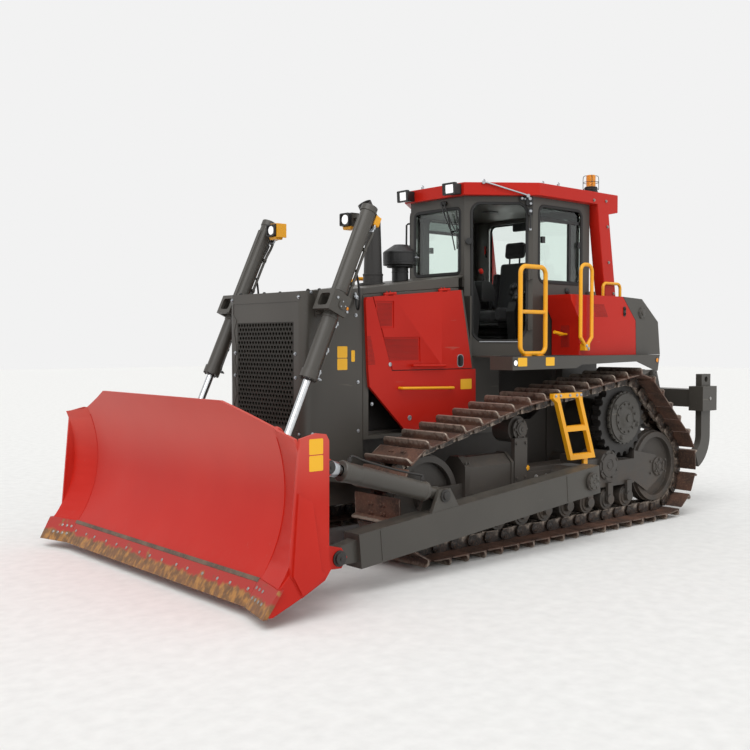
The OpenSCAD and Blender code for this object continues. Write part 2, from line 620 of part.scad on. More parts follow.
module side_panels() {
    color(red) both_sides() {
        plate_y(door_y0, door_y0 + door_t, [
            [1504, 2250], [1490, 2276], [1424, 2280], [1201, 1640], [1474, 1640]]);
        plate_y(door_y0, door_y0 + door_t, [
            [1474, 1640], [1201, 1640], [1198, 1632], [120, 1632], [114, 1040], [1032, 1090], [1460, 1500]]);
    }
    // hinges that the upper engine doors hang on
    color(grey) both_sides() for (d = hinge_places) {
        bar(hinge_at(d - 30), hinge_at(d + 30), 12);
        bar(hinge_at(d - 76), hinge_at(d + 76), hinge_pin_r);
        for (e = [-20, 20]) bar(hinge_at(d + e), [hinge_at(d + e)[0], hood_half_w + 3.2, hinge_at(d + e)[2] + 20], 5);
    }
}

// What lies under the hood's top, for the feet of the pipes that stand on it.
module under_hood_top() {
    plate_y(-200, 200, [[nose_x0, 2200], [nose_x0, nose_top_z + 46 + seat_gap],
        [cab_front_x, hood_top_z + 20 + seat_gap], [cab_front_x, 2200]]);
}
stack_x = 904;
stack_bend_z = 3030;
stack_r = 72;
stack_base_r = 94;
module exhaust_stack() {
    color("darkslategray") difference() {
        union() {
            translate([stack_x, 0, 2400]) cylinder(r = stack_base_r, h = 120);
            translate([stack_x, 0, 2520]) cylinder(r1 = stack_base_r - 5, r2 = stack_r, h = stack_bend_z - 2520);
            bar([stack_x, 0, stack_bend_z - 10], [stack_x + 106, 0, stack_bend_z + 160], stack_r - 6);
            translate([stack_x, 0, stack_bend_z]) sphere(r = stack_r - 1);
        }
        bar([stack_x, 0, stack_bend_z + 10], [stack_x + 126, 0, stack_bend_z + 192], stack_r - 14);
        under_hood_top();
    }
}

precleaner_x = 554;
module air_precleaner() {
    color("dimgray") difference() {
        translate([precleaner_x, 0, 0]) {
            translate([0, 0, 2440]) cylinder(r = 80, h = 180);
            translate([0, 0, 2610]) cylinder(r = 130, h = 20);
            translate([0, 0, 2630]) cylinder(r = 165, h = 130);
            translate([0, 0, 2760]) cylinder(r1 = 165, r2 = 60, h = 70);
        }
        under_hood_top();
    }
}

// ---------- cab ----------
wall = 60;
module cab_plan(inset) {
    polygon([
        [cab_front_x - inset, cab_front_half_w - inset * 0.6], [cab_mid_x, cab_half_w - inset],
        [cab_rear_x + inset, cab_half_w - inset], [cab_rear_x + inset, -(cab_half_w - inset)],
        [cab_mid_x, -(cab_half_w - inset)], [cab_front_x - inset, -(cab_front_half_w - inset * 0.6)]]);
}
sill_z = 1900;
side_dx = cab_front_x - cab_mid_x;
side_dy = cab_half_w - cab_front_half_w;
side_len = norm([side_dx, side_dy]);
side_ang = atan2(side_dy, -side_dx);
// Places its drawing on the left angled side: X runs from the front pillar back, Y up.
module on_angled_side() {
    translate([cab_front_x, cab_front_half_w, 0]) rotate([0, 0, side_ang]) rotate([90, 0, 0]) children();
}
door_out = [[80, sill_z + 70], [150, sill_z], [side_len - 130, sill_z], [side_len - 60, sill_z + 110],
    [side_len - 60, 3180], [side_len - 110, 3240], [120, 3240], [70, 3180]];
module door_outline() {
    offset(r = 40) offset(delta = -40) polygon(door_out);
}
wind_half_w = 320;
wind_z = [2560, 3200];
module side_window() {
    pane([cab_rear_x + 130, 2480], [cab_mid_x - 90, 3230], 70);
}
module rear_window() {
    pane([-560, 2420], [560, 3200], 70);
}
module cab_shell() {
    color(grey) difference() {
        translate([0, 0, platform_z]) linear_extrude(roof_z - platform_z - seat_gap) cab_plan(0);
        translate([0, 0, platform_z + 60]) linear_extrude(roof_z - platform_z - 130) cab_plan(wall);
        // windshield
        translate([cab_front_x - 120, 0, 0]) rotate([90, 0, 90]) linear_extrude(121)
            pane([-wind_half_w, wind_z[0]], [wind_half_w, wind_z[1]], 50);
        // openings for the doors on both angled sides
        both_sides() on_angled_side() translate([0, 0, -180]) linear_extrude(220) door_outline();
        // side and rear windows
        both_sides() slab_y(cab_half_w - wall - 30, cab_half_w + 1) side_window();
        translate([cab_rear_x - 1, 0, 0]) rotate([90, 0, 90]) linear_extrude(wall + 30) rear_window();
    }
    // hinges that the cab door hangs on
    color(grey) for (z = cab_hinge_places) {
        at_cab_hinge(z - 32) cylinder(r = 15, h = 64);
        at_cab_hinge(z - 66) cylinder(r = 8, h = 132);
        mirror([0, 1, 0]) on_angled_side() translate([cab_hinge[0], z - 30, -10]) cube([26, 60, cab_hinge[1] + 10]);
    }
}

glass_t = 8;
module cab_glass() {
    color("lightblue") {
        translate([cab_front_x - 34, 0, 0]) rotate([90, 0, 90]) linear_extrude(glass_t) offset(delta = -seat_gap)
            pane([-wind_half_w, wind_z[0]], [wind_half_w, wind_z[1]], 50);
        both_sides() slab_y(cab_half_w - 34, cab_half_w - 34 + glass_t) offset(delta = -seat_gap) side_window();
        translate([cab_rear_x + 26, 0, 0]) rotate([90, 0, 90]) linear_extrude(glass_t) offset(delta = -seat_gap) rear_window();
    }
}

cab_hinge = [side_len - 58, 34];     // hinge of the cab door: along the angled side, and outward from it
cab_hinge_places = [2060, 3060];
// Places its children on the axis of the door's hinge, on the right side of the cab.
module at_cab_hinge(z) {
    mirror([0, 1, 0]) on_angled_side() translate([cab_hinge[0], z, cab_hinge[1]]) rotate([-90, 0, 0]) children();
}
module cab_door() {
    color(grey) difference() {
        union() {
            mirror([0, 1, 0]) on_angled_side() {
                translate([0, 0, -10]) linear_extrude(34) difference() {
                    offset(delta = -6) door_outline();
                    offset(delta = -60) door_outline();
                }
                for (z = cab_hinge_places) translate([cab_hinge[0] - 62, z - 60, 10]) cube([60, 26, 14]);
                for (z = cab_hinge_places) translate([cab_hinge[0] - 62, z + 34, 10]) cube([60, 26, 14]);
            }
            for (z = cab_hinge_places) for (e = [-60, 34]) at_cab_hinge(z + e) cylinder(r = 15, h = 26);
        }
        for (z = cab_hinge_places) at_cab_hinge(z - 70) cylinder(r = 8.05, h = 140);
        for (z = cab_hinge_places) at_cab_hinge(z - 33.7) cylinder(r = 18, h = 67.4);
    }
}
module cab_door_glass() {
    color("lightblue") mirror([0, 1, 0]) on_angled_side() translate([0, 0, 4]) linear_extrude(glass_t)
        offset(delta = -60 - seat_gap) door_outline();
}

roof_half_w = cab_half_w + 80;
roof_front_x = cab_front_x + 50;
roof_rear_x = -1716;
post_base_z = 2352;
module rops_frame() {
    color(red) {
        translate([0, 0, roof_z]) linear_extrude(roof_t) polygon([
            [roof_front_x, cab_front_half_w + 40], [cab_mid_x, roof_half_w], [roof_rear_x, roof_half_w],
            [roof_rear_x, -roof_half_w], [cab_mid_x, -roof_half_w], [roof_front_x, -(cab_front_half_w + 40)]]);
        both_sides() {
            plate_y(roof_half_w - 130, roof_half_w, [
                [-1406, roof_z], [-1550, post_base_z], [-1738, post_base_z], [-1603, 3220],
                [-1761, 3250], [-1761, roof_z + roof_t], [roof_rear_x + 1, roof_z + roof_t], [roof_rear_x + 1, roof_z]]);
        }
        block([-1761, -roof_half_w, 3250], [-1640, roof_half_w, roof_z + 20]);
    }
}

module operator_seat() {
    color([0.1, 0.1, 0.1]) {
        // suspension with its bellows, cushion with side bolsters, back, headrest and armrests
        for (k = [0 : 4]) block([-1080 + (k % 2) * 14, -190 + (k % 2) * 14, platform_z + 60 + seat_gap + k * 46],
            [-680 - (k % 2) * 14, 190 - (k % 2) * 14, platform_z + 60 + seat_gap + (k + 1) * 46 + 1]);
        plate_y(-250, 250, [[-1120, 2040], [-1120, 2170], [-1050, 2196], [-660, 2216], [-590, 2190], [-570, 2130], [-600, 2040]]);
        both_sides() plate_y(176, 262, [[-1120, 2100], [-1120, 2230], [-640, 2262], [-590, 2226], [-580, 2140]]);
        plate_y(-236, 236, [[-1120, 2150], [-1000, 2190], [-1076, 2700], [-1100, 2760], [-1190, 2760], [-1200, 2700], [-1160, 2300]]);
        both_sides() plate_y(160, 256, [[-1080, 2240], [-960, 2240], [-1010, 2560], [-1080, 2640], [-1140, 2560]]);
        plate_y(-130, 130, [[-1086, 2790], [-1180, 2780], [-1200, 2940], [-1170, 2970], [-1110, 2960]]);
        for (y = [-70, 70]) bar([-1140, y, 2740], [-1142, y, 2800], 9);
        both_sides() block([-1040, 262, 2370], [-700, 330, 2420]);
        both_sides() block([-1060, 240, 2300], [-1000, 300, 2400]);
    }
}
module control_console() {
    color([0.12, 0.12, 0.12]) {
        plate_y(-330, 330, [[-10, platform_z + 60 + seat_gap], [-10, 2500], [-150, 2480], [-240, 2250], [-180, platform_z + 60 + seat_gap]]);
        both_sides() plate_y(345, 455, [[-1060, platform_z + 60 + seat_gap], [-1060, 2310], [-760, 2340], [-640, 2300],
            [-600, 2200], [-640, platform_z + 60 + seat_gap]]);
        // stalks of the steering lever and the blade lever
        both_sides() {
            bar([-700, 400, 2300], [-660, 390, 2440], 11);
            translate([-658, 390, 2450]) sphere(r = 34);
        }
    }
}

// ---------- platform ----------
fender_x0 = -1966;
fender_x1 = 360;
module fenders() {
    color(grey) both_sides() {
        plate_y(shoe_outer_y - 14, shoe_outer_y, [
            [fender_x1, platform_z], [fender_x1, 1636], [-560, 1640], [-640, 1672], [-1560, 1690], [-1900, 1590], [-1930, 1590], [fender_x0, platform_z]]);
        block([fender_x0, hull_half_w + 22, platform_z - 14], [cowl_x0 - run_gap, shoe_outer_y, platform_z - seat_gap]);
        block([cowl_x0 - run_gap - 1, door_clear_y, platform_z - 14], [fender_x1, shoe_outer_y, platform_z - seat_gap]);
        block([fender_x1 - 14, door_clear_y, 1636], [fender_x1, shoe_outer_y, platform_z]);
        // bracket that carries the platform from the rear case
        block([-1900, case_half_w + seat_gap, 1400], [-1300, 520, platform_z - 13]);
        block([-300, hull_half_w + seat_gap, 1000], [100, 520, platform_z - 13]);
    }
}

tank_y0 = cab_half_w + 15;
tank_y1 = 1150;
tank_x1 = -754;
tank_top = 2350;
module tank() {
    color(red) plate_y(tank_y0, tank_y1, [
        [tank_x1, platform_z + seat_gap], [tank_x1, 2110], [tank_x1 + 130, 2300], [tank_x1 + 140, tank_top],
        [-1475, tank_top], [-1700, 2110], [-1713, platform_z + seat_gap]]);
    color(grey) plate_y(tank_y0, tank_y1, [
        [-1713, platform_z + seat_gap], [-1700, 2110], [-1475, tank_top], [-1812, tank_top - 15],
        [-2112, 2100], [-2155, platform_z + seat_gap]]);
    color(grey) block([-2100, 600, platform_z + seat_gap], [-1400, tank_y0, 2110]);
}
module fuel_tank() tank();
module hydraulic_tank() mirror([0, 1, 0]) tank();

rail_r = 21;
rail_bend = 70;
grab_bend = 70;
module handrails() {
    rail_y = 1190;
    x0 = -190;
    x1 = 165;
    rail_z1 = 2580;
    grab_y = tank_y1 + 42;
    foot_z = platform_z + 26;
    mid = (x0 + x1) / 2;
    color(yellow) both_sides() {
        tube([[mid, rail_y, foot_z], [x0, rail_y, foot_z], [x0, rail_y, rail_z1],
            [x1, rail_y, rail_z1], [x1, rail_y, foot_z], [mid, rail_y, foot_z]], rail_r, rail_bend);
        bar([x0, rail_y, 2165], [x1, rail_y, 2165], rail_r - 3);
        for (x = [x0 + 90, x1 - 90]) translate([x, rail_y, platform_z + seat_gap]) cylinder(r = 18, h = 26);
        grab_mid = tank_x1 - 54;
        tube([[grab_mid - 88, grab_y, 1936], [grab_mid - 88, grab_y, 2640],
            [grab_mid + 88, grab_y, 2640], [grab_mid + 88, grab_y, 1936]], rail_r - 3, grab_bend);
        for (e = [-1, 1]) {
            translate([grab_mid + e * 88, grab_y, 1936]) sphere(r = rail_r - 2.5);
            bar([grab_mid + e * 88, grab_y, 1936], [grab_mid + e * 8, grab_y, 1846], rail_r - 3.4);
        }
        block([grab_mid - 38, tank_y1 + seat_gap, 1806], [grab_mid + 38, grab_y + 20, 1872]);
        tube([[-1480, 900, tank_top + seat_gap], [-1480, 900, 2500], [-1780, 900, 2500],
            [-1780, 900, tank_top - 5]], 16, 50);
    }
}

ladder_y = shoe_outer_y + 32;
ladder_depth = 44;       // along Y
ladder_foot_z = 775;
ladder_arm = 50;         // width of an arm
rung_h = 46;
// Middle of an arm at height z: the arms lean back towards the foot.
function arm_at(x, z) = x + (z - 1340) * 0.37;
module ladder_window(z0, z1) {
    front = arm_at(-230, 0) - ladder_arm / 2;
    rear = arm_at(-560, 0) + ladder_arm / 2;
    polygon([[front + z0 * 0.37, z0], [front + z1 * 0.37, z1], [rear + z1 * 0.37, z1], [rear + z0 * 0.37, z0]]);
}
module access_ladders() {
    top = 1410;
    color(yellow) both_sides() {
        slab_y(ladder_y - ladder_depth / 2, ladder_y + ladder_depth / 2) difference() {
            polygon([[-150, top], [-150, top - 45], [arm_at(-205, 1325), 1325], [arm_at(-205, ladder_foot_z), ladder_foot_z],
                [arm_at(-585, ladder_foot_z), ladder_foot_z], [arm_at(-585, 1325), 1325], [-575, top]]);
            ladder_window(ladder_foot_z + rung_h, 1046);
            ladder_window(1046 + rung_h, top - rung_h);
        }
        // bracket down to the track frame
        block([-700, frame_y1 - 90, frame_top + seat_gap], [-640, ladder_y, ladder_foot_z + 20]);
    }
}

module work_lights() {
    color([0.1, 0.1, 0.1]) {
        both_sides() {
            block([roof_front_x + seat_gap, 270, 3320], [roof_front_x + 100, 390, 3420]);
        }
    }
}
module beacon() {
    color("orange") translate([-1396, 800, roof_z + roof_t + seat_gap]) {
        cylinder(r = 62, h = 40);
        translate([0, 0, 40]) cylinder(r = 48, h = 140);
    }
}

// ---------- blade and push arms ----------
arm_y0 = shoe_outer_y + 65;
arm_y1 = arm_y0 + arm_w;
blade_tip_x = overall_len / 2;
wing_run = blade_half_w - fold_y;
edge_reach = 126;        // cutting edge's tip ahead of the moldboard's foot
end_bit_over = 60;       // end bit past the line of the end plate, along the wing
blade_face_x = blade_tip_x + blade_sag / 2 - (edge_reach + blade_sag / 2) * cos(wing_angle)
    - (wing_run + end_bit_over) * sin(wing_angle);    // moldboard's foot at the middle
blade_back_x = blade_face_x - blade_sag - 110;
blade_pin_x = blade_face_x - blade_pin_back;
arm_reach = blade_pin_x - trunnion_x;
arm_ang = atan2(blade_pin_z - trunnion_z, arm_reach);
tilt_foot = [blade_pin_x - 1097, 655];
tilt_head = [blade_face_x - 562, 985];
module push_arms() {
    arm_end = arm_reach - 190;
    color(grey) both_sides() difference() {
        union() {
            translate([trunnion_x, 0, trunnion_z]) rotate([0, -arm_ang, 0]) {
                block([-130, arm_y0, -arm_h / 2], [arm_end, arm_y1, arm_h / 2]);
                plate_y(arm_y0 + 40, arm_y1 - 40, [[arm_end - 40, -90], [arm_end - 40, 90],
                    [arm_reach + 30, 60], [arm_reach + 60, 0], [arm_reach + 30, -60]]);
            }
            plate_y(arm_y0 + 4, arm_y0 + 38, [[tilt_foot[0] - 170, 540], [tilt_foot[0] - 60, tilt_foot[1] + 55],
                [tilt_foot[0] + 60, tilt_foot[1] + 55], [tilt_foot[0] + 170, 480]]);
            plate_y(arm_y1 - 38, arm_y1 - 4, [[tilt_foot[0] - 170, 540], [tilt_foot[0] - 60, tilt_foot[1] + 55],
                [tilt_foot[0] + 60, tilt_foot[1] + 55], [tilt_foot[0] + 170, 480]]);
            bar_y(tilt_foot[0], tilt_foot[1], 30, arm_y0, arm_y1);
        }
        bar_y(trunnion_x, trunnion_z, trunnion_r + 0.05, arm_y0 - 1, arm_y1 + 1);
        bar_y(blade_pin_x, blade_pin_z, 35.05, arm_y0, arm_y1);
    }
}

edge_top_z = blade_ground_gap + 183;
blade_top_z = blade_ground_gap + blade_h;
face_h = blade_top_z - edge_top_z;
face_r = (face_h * face_h / 4 + blade_sag * blade_sag) / (2 * blade_sag);
module moldboard_section() {
    cx = blade_face_x - blade_sag + face_r;
    cz = (blade_top_z + edge_top_z) / 2;
    intersection() {
        difference() {
            translate([cx, cz]) circle(r = face_r + moldboard_t, $fn = 120);
            translate([cx, cz]) circle(r = face_r, $fn = 120);
        }
        translate([blade_face_x - blade_sag - 60, edge_top_z]) square([blade_sag + 90, face_h]);
    }
}
lift_ear = 97;           // middle of a lift ear from the rod's eye
module blade_web() {
    // ribs between the curved plate and the back boxes
    difference() {
        polygon([[blade_back_x, 330], [blade_back_x, 1120], [blade_face_x - 30, blade_top_z - 30],
            [blade_face_x, blade_top_z - 60], [blade_face_x, edge_top_z], [blade_back_x + 60, edge_top_z]]);
        translate([blade_face_x - blade_sag + face_r, (blade_top_z + edge_top_z) / 2])
            circle(r = face_r + moldboard_t / 2, $fn = 120);
    }
}
module wing_turn(s) {
    translate([blade_face_x - blade_sag / 2, s * fold_y, 0]) rotate([0, 0, -s * wing_angle])
        translate([-(blade_face_x - blade_sag / 2), -s * fold_y, 0]) children();
}
fold_seam = 0.6;         // welded seam between the middle and a wing
// All that lies beyond the fold of a wing, cut on the mitre, less a seam.
module past_fold(s, seam = 0) {
    translate([blade_face_x - blade_sag / 2, s * fold_y, 0]) rotate([0, 0, -s * wing_angle / 2])
        translate([-1000, s > 0 ? seam : -900 - seam, 0]) cube([2000, 900, 2000]);
}
// A section drawn with X and Z, run along the middle and both wings out to a length past the end plates' line.
module along_blade(over) {
    difference() {
        slab_y(-fold_y - 60, fold_y + 60) children();
        for (s = [-1, 1]) past_fold(s);
    }
    for (s = [-1, 1]) intersection() {
        wing_turn(s) slab_y(s > 0 ? fold_y - 80 : -blade_half_w - over, s > 0 ? blade_half_w + over : -fold_y + 80)
            children();
        past_fold(s, fold_seam);
    }
}
module blade() {
    color(red) {
        intersection() {
            along_blade(40) moldboard_section();
            // the top edge falls away outside its flat middle
            translate([2000, 0, 0]) rotate([90, 0, 90]) linear_extrude(2000) polygon([
                [-blade_half_w + 20, 0], [-blade_half_w + 20, 1241], [-fold_y - 60, 1276], [-942, blade_top_z],
                [942, blade_top_z], [fold_y + 60, 1276], [blade_half_w - 20, 1241], [blade_half_w - 20, 0]]);
        }
        // boxes and ribs behind the middle
        intersection() {
            union() {
                slab_y(-fold_y, fold_y) difference() {
                    blade_web();
                    translate([blade_back_x + 20, 0]) square([2000, 2000]);
                }
                for (y = [-fold_y, -900, -500, 0, 500, 900, fold_y]) slab_y(y - 16, y + 16) blade_web();
                for (z = [[edge_top_z, edge_top_z + 24], [620, 640], [1100, 1120]])
                    slab_y(-fold_y, fold_y) intersection() {
                        blade_web();
                        translate([blade_back_x, z[0]]) square([900, z[1] - z[0]]);
                    }
            }
            translate([2000, 0, 0]) rotate([90, 0, 90]) linear_extrude(2000) polygon([
                [-942, blade_top_z], [942, blade_top_z], [fold_y + 60, 1276], [fold_y + 60, 0], [-fold_y - 60, 0], [-fold_y - 60, 1276]]);
        }
        both_sides() {
            // end plate
            translate([blade_face_x, 0, 0]) plate_y(blade_half_w - 25, blade_half_w, [
                [-78, 1241], [-221, 1273], [-299, 1262], [-325, 1218], [-323, 413], [-340, 330], [-288, 262],
                [-91, 172], [7, 340]]);
            // its doubler
            translate([blade_face_x, 0, 0]) plate_y(blade_half_w - 1, blade_half_w + 12, [
                [-58, 878], [-176, 805], [-251, 332], [-288, 300], [-180, 226], [-91, 190], [-12, 330]]);
            // back skin from the middle's rear box to the end plate
            plate_y(fold_y - 30, blade_half_w - 24, [[blade_back_x, 330], [blade_back_x, 1120], [blade_back_x + 20, 1120], [blade_back_x + 20, 330]]);
            // ears for the lift rods
            for (y = [lift_eye[1] - lift_ear, lift_eye[1] + lift_ear]) plate_y(y - 18, y + 18, [
                [blade_back_x + 10, 560], [blade_back_x + 10, 960], [lift_eye[0] - 20, lift_eye[2] + 70],
                [lift_eye[0] - 70, lift_eye[2]], [lift_eye[0] - 20, lift_eye[2] - 70]]);
            for (y = [-lift_ear, lift_ear]) bar_y(lift_eye[0], lift_eye[2], 38, lift_eye[1] + y - 24, lift_eye[1] + y + 24);
            // ears for the push arm
            for (y = [arm_y0 + 17, arm_y1 - 17]) plate_y(y - 17, y + 17, [
                [blade_back_x + 10, 250], [blade_back_x + 10, 480], [blade_pin_x - 20, blade_pin_z + 75],
                [blade_pin_x - 75, blade_pin_z], [blade_pin_x - 20, blade_pin_z - 75]]);
            bar_y(blade_pin_x, blade_pin_z, 35, arm_y0, arm_y1);
            // ears for the tilt cylinder
            for (y = [arm_y0 + 17, arm_y1 - 17]) plate_y(y - 17, y + 17, [
                [blade_back_x + 10, 860], [blade_back_x + 10, 1110], [tilt_head[0] - 10, tilt_head[1] + 60],
                [tilt_head[0] - 60, tilt_head[1]], [tilt_head[0] - 10, tilt_head[1] - 60]]);
            for (y = [arm_y0 + 14, arm_y1 - 14]) bar_y(tilt_head[0], tilt_head[1], 34, y - 20, y + 20);
        }
    }
}

module edge_section() {
    polygon([[blade_face_x - 26, edge_top_z], [blade_face_x + 10, edge_top_z],
        [blade_face_x + edge_reach, blade_ground_gap], [blade_face_x + edge_reach - 34, blade_ground_gap]]);
}
module cutting_edge() {
    color("sienna") {
        along_blade(end_bit_over) edge_section();
    }
}

// ---------- cylinders ----------
lift_top = [1589, lift_y, 3000];
lift_eye = [blade_face_x - 577, lift_y, 750];
lift_dir = (lift_eye - lift_top) / norm(lift_eye - lift_top);
lift_len = norm(lift_eye - lift_top);
lift_pivot_at = 890;
lift_gland_at = 1550;
lift_rod_top = 880;
lift_pivot = lift_top + lift_dir * lift_pivot_at;
lift_trunnion_r = 26;
// Places its children with Z along the lift cylinder, from its top down to its eye.
module along_lift() {
    translate(lift_top) rotate([0, acos(lift_dir[2]), atan2(lift_dir[1], lift_dir[0])]) children();
}
lamp_inward = 188;       // and inward from it
module lift_barrel() {
    color(grey) difference() {
        union() {
            along_lift() {
                cylinder(r = lift_barrel_d / 2, h = lift_gland_at);
                // oil gallery along the barrel's rear, and the collars
                translate([-lift_barrel_d / 2 + 4, 0, 90]) cylinder(r = 22, h = lift_pivot_at - 200);
                translate([0, 0, lift_gland_at - 70]) cylinder(r = lift_barrel_d / 2 + 10, h = 70);
                translate([0, 0, -30]) cylinder(r = lift_barrel_d / 2 + 6, h = 50);
            }
            at_lift_collar() rotate([90, 0, 0]) cylinder(r = lift_trunnion_r, h = 2 * (yoke_in + yoke_ear), center = true);
            // lamp and its bracket, carried at the barrel's top
            translate(lift_top) {
                block([20, -lamp_inward + 40, -60], [70, 0, -30]);
                block([0, -lamp_inward - 62, -124], [82, -lamp_inward + 62, -12]);
                block([80, -lamp_inward - 54, -116], [102, -lamp_inward + 54, -20]);
            }
        }
        along_lift() translate([0, 0, 60]) cylinder(r = lift_rod_d / 2 + seat_gap, h = lift_gland_at);
    }
}
module lift_rod() {
    color(steel) {
        along_lift() translate([0, 0, lift_rod_top]) cylinder(r = lift_rod_d / 2, h = lift_len - lift_rod_top - 60);
        difference() {
            translate(lift_eye) rotate([90, 0, 0]) cylinder(r = 78, h = 80, center = true);
            translate(lift_eye) rotate([90, 0, 0]) cylinder(r = 32, h = 100, center = true);
        }
    }
}
module lift_barrel_left() lift_barrel();
module lift_barrel_right() mirror([0, 1, 0]) lift_barrel();
module lift_rod_left() lift_rod();
module lift_rod_right() mirror([0, 1, 0]) lift_rod();

tilt_len = norm(tilt_head - tilt_foot);
tilt_ang = atan2(tilt_head[1] - tilt_foot[1], tilt_head[0] - tilt_foot[0]);
tilt_y = (arm_y0 + arm_y1) / 2;
// Places its children with Z along the tilt cylinder, from its foot to its head.
module along_tilt() {
    translate([tilt_foot[0], tilt_y, tilt_foot[1]]) rotate([0, 90 - tilt_ang, 0]) children();
}
module tilt_barrel() {
    color(grey) difference() {
        along_tilt() {
            translate([0, 0, 30]) cylinder(r = 44, h = 150);
            translate([0, 0, 150]) cylinder(r = tilt_barrel_d / 2, h = 760);
            rotate([90, 0, 0]) cylinder(r = 60, h = 84, center = true);
        }
        along_tilt() translate([0, 0, 200]) cylinder(r = tilt_rod_d / 2 + seat_gap, h = 800);
        bar_y(tilt_foot[0], tilt_foot[1], 30.05, arm_y0, arm_y1);
    }
}
module tilt_rod() {
    color(steel) along_tilt() difference() {
        union() {
            translate([0, 0, 520]) cylinder(r = tilt_rod_d / 2, h = tilt_len - 520 - 30);
            translate([0, 0, tilt_len]) rotate([90, 0, 0]) cylinder(r = 62, h = 84, center = true);
        }
        translate([0, 0, tilt_len]) rotate([90, 0, 0]) cylinder(r = 30, h = 90, center = true);
    }
}
module tilt_barrel_left() tilt_barrel();
module tilt_barrel_right() mirror([0, 1, 0]) tilt_barrel();
module tilt_rod_left() tilt_rod();
module tilt_rod_right() mirror([0, 1, 0]) tilt_rod();

// ---------- ripper ----------
beam_x0 = -overall_len / 2;
pocket_len = 300;
beam_x1 = beam_x0 + pocket_len;
pocket_z1 = ripper_beam_z + 280;
ear_x = case_x0 - 75;
low_pin = [ear_x, 700];
high_pin = [ear_x, 1200];
cyl_pin = [ear_x, 1400];
beam_low_pin = [beam_x1 + 95, ripper_beam_z - 90];
beam_high_pin = beam_low_pin + high_pin - low_pin;
arm_vec = beam_low_pin - low_pin;
arm_up = [-arm_vec[1], arm_vec[0]] / norm(arm_vec) * -1;
cross_at = low_pin + arm_vec * 0.66;
eye_pin = cross_at + arm_up * 136;
ripper_y = 425;
ripper_cyl_y = 180;
pin_r = 30;
bore_r = pin_r + 0.05;
// A strap with round ends between two pins.
module strap(p, q, r, y0, y1) {
    v = q - p;
    slab_y(y0, y1) {
        translate(p) circle(r = r);
        translate(q) circle(r = r);
        translate(p) rotate(atan2(v[1], v[0])) translate([0, -r * 0.8]) square([norm(v), r * 1.6]);
    }
}
module ripper_arms() {
    color(grey) difference() {
        union() {
            for (s = [-1, 1]) strap(low_pin, beam_low_pin, 62, s * ripper_y - 60, s * ripper_y + 60);
            bar_y(cross_at[0], cross_at[1], 58, -ripper_y, ripper_y);
            for (s = [-1, 1]) for (y = [-62, 62]) strap(cross_at, eye_pin, 45, s * ripper_cyl_y + y - 14, s * ripper_cyl_y + y + 14);
            for (s = [-1, 1]) bar_y(eye_pin[0], eye_pin[1], 22, s * ripper_cyl_y - 70, s * ripper_cyl_y + 70);
        }
        bar_y(low_pin[0], low_pin[1], bore_r, -600, 600);
        bar_y(beam_low_pin[0], beam_low_pin[1], bore_r, -600, 600);
    }
}
module ripper_links() {
    color(grey) both_sides() difference() {
        strap(high_pin, beam_high_pin, 52, ripper_y - 50, ripper_y + 50);
        bar_y(high_pin[0], high_pin[1], bore_r, 0, 600);
        bar_y(beam_high_pin[0], beam_high_pin[1], pin_r + seat_gap, 0, 600);
    }
}
shank_x0 = beam_x0 + 50;
shank_w = 190;
shank_t = 76;
fit = 0.5;
module ripper_beam() {
    color(grey) {
        difference() {
            union() {
                block([beam_x0 + 20, -ripper_half_w + 20, ripper_beam_z + 40], [beam_x1 - 20, ripper_half_w - 20, pocket_z1 - 40]);
                for (k = [-1, 0, 1]) block([beam_x0, k * shank_pitch - 90, ripper_beam_z],
                    [beam_x1, k * shank_pitch + 90, pocket_z1]);
            }
            for (k = [-1, 0, 1]) block([shank_x0 - fit, k * shank_pitch - shank_t / 2 - fit, ripper_beam_z - 1],
                [shank_x0 + shank_w + fit, k * shank_pitch + shank_t / 2 + fit, pocket_z1 + 1]);
        }
        for (k = [-1, 0, 1]) bar_y(shank_x0 + shank_w / 2, ripper_beam_z + 140, 25,
            k * shank_pitch - 89, k * shank_pitch + 89);
        // ears for arms and links
        both_sides() {
            for (y = [-80, 80]) plate_y(ripper_y + y - 15, ripper_y + y + 15, [
                [beam_x1 - 30, ripper_beam_z + 60], [beam_low_pin[0] - 40, beam_low_pin[1] - 55],
                [beam_low_pin[0] + 40, beam_low_pin[1] - 55], [beam_low_pin[0] + 55, beam_low_pin[1]],
                [beam_high_pin[0] + 55, beam_high_pin[1]], [beam_high_pin[0] + 40, beam_high_pin[1] + 55],
                [beam_high_pin[0] - 40, beam_high_pin[1] + 55], [beam_x1 - 30, pocket_z1 - 60]]);
            for (p = [beam_low_pin, beam_high_pin]) bar_y(p[0], p[1], pin_r, ripper_y - 95, ripper_y + 95);
        }
    }
}
module ripper_shanks() {
    color(grey) for (k = [-1, 0, 1]) slab_y(k * shank_pitch - shank_t / 2, k * shank_pitch + shank_t / 2) difference() {
        union() {
            translate([shank_x0, 820]) square([shank_w, pocket_z1 + 140 - 820]);
            // the foot curves forward to its tip
            translate([shank_x0 + 390, 820]) intersection() {
                difference() {
                    circle(r = 390, $fn = 96);
                    circle(r = 200, $fn = 96);
                }
                polygon([[0, 1], [-400, 1], [-400, -400], [-170, -400]]);
            }
        }
        translate([shank_x0 + shank_w / 2, ripper_beam_z + 140]) circle(r = 25.3);
        translate([shank_x0 + shank_w / 2, pocket_z1 + 80]) circle(r = 32);
    }
}
rip_cyl_len = norm(eye_pin - cyl_pin);
rip_barrel_r = 62;
rip_rod_r = 32;
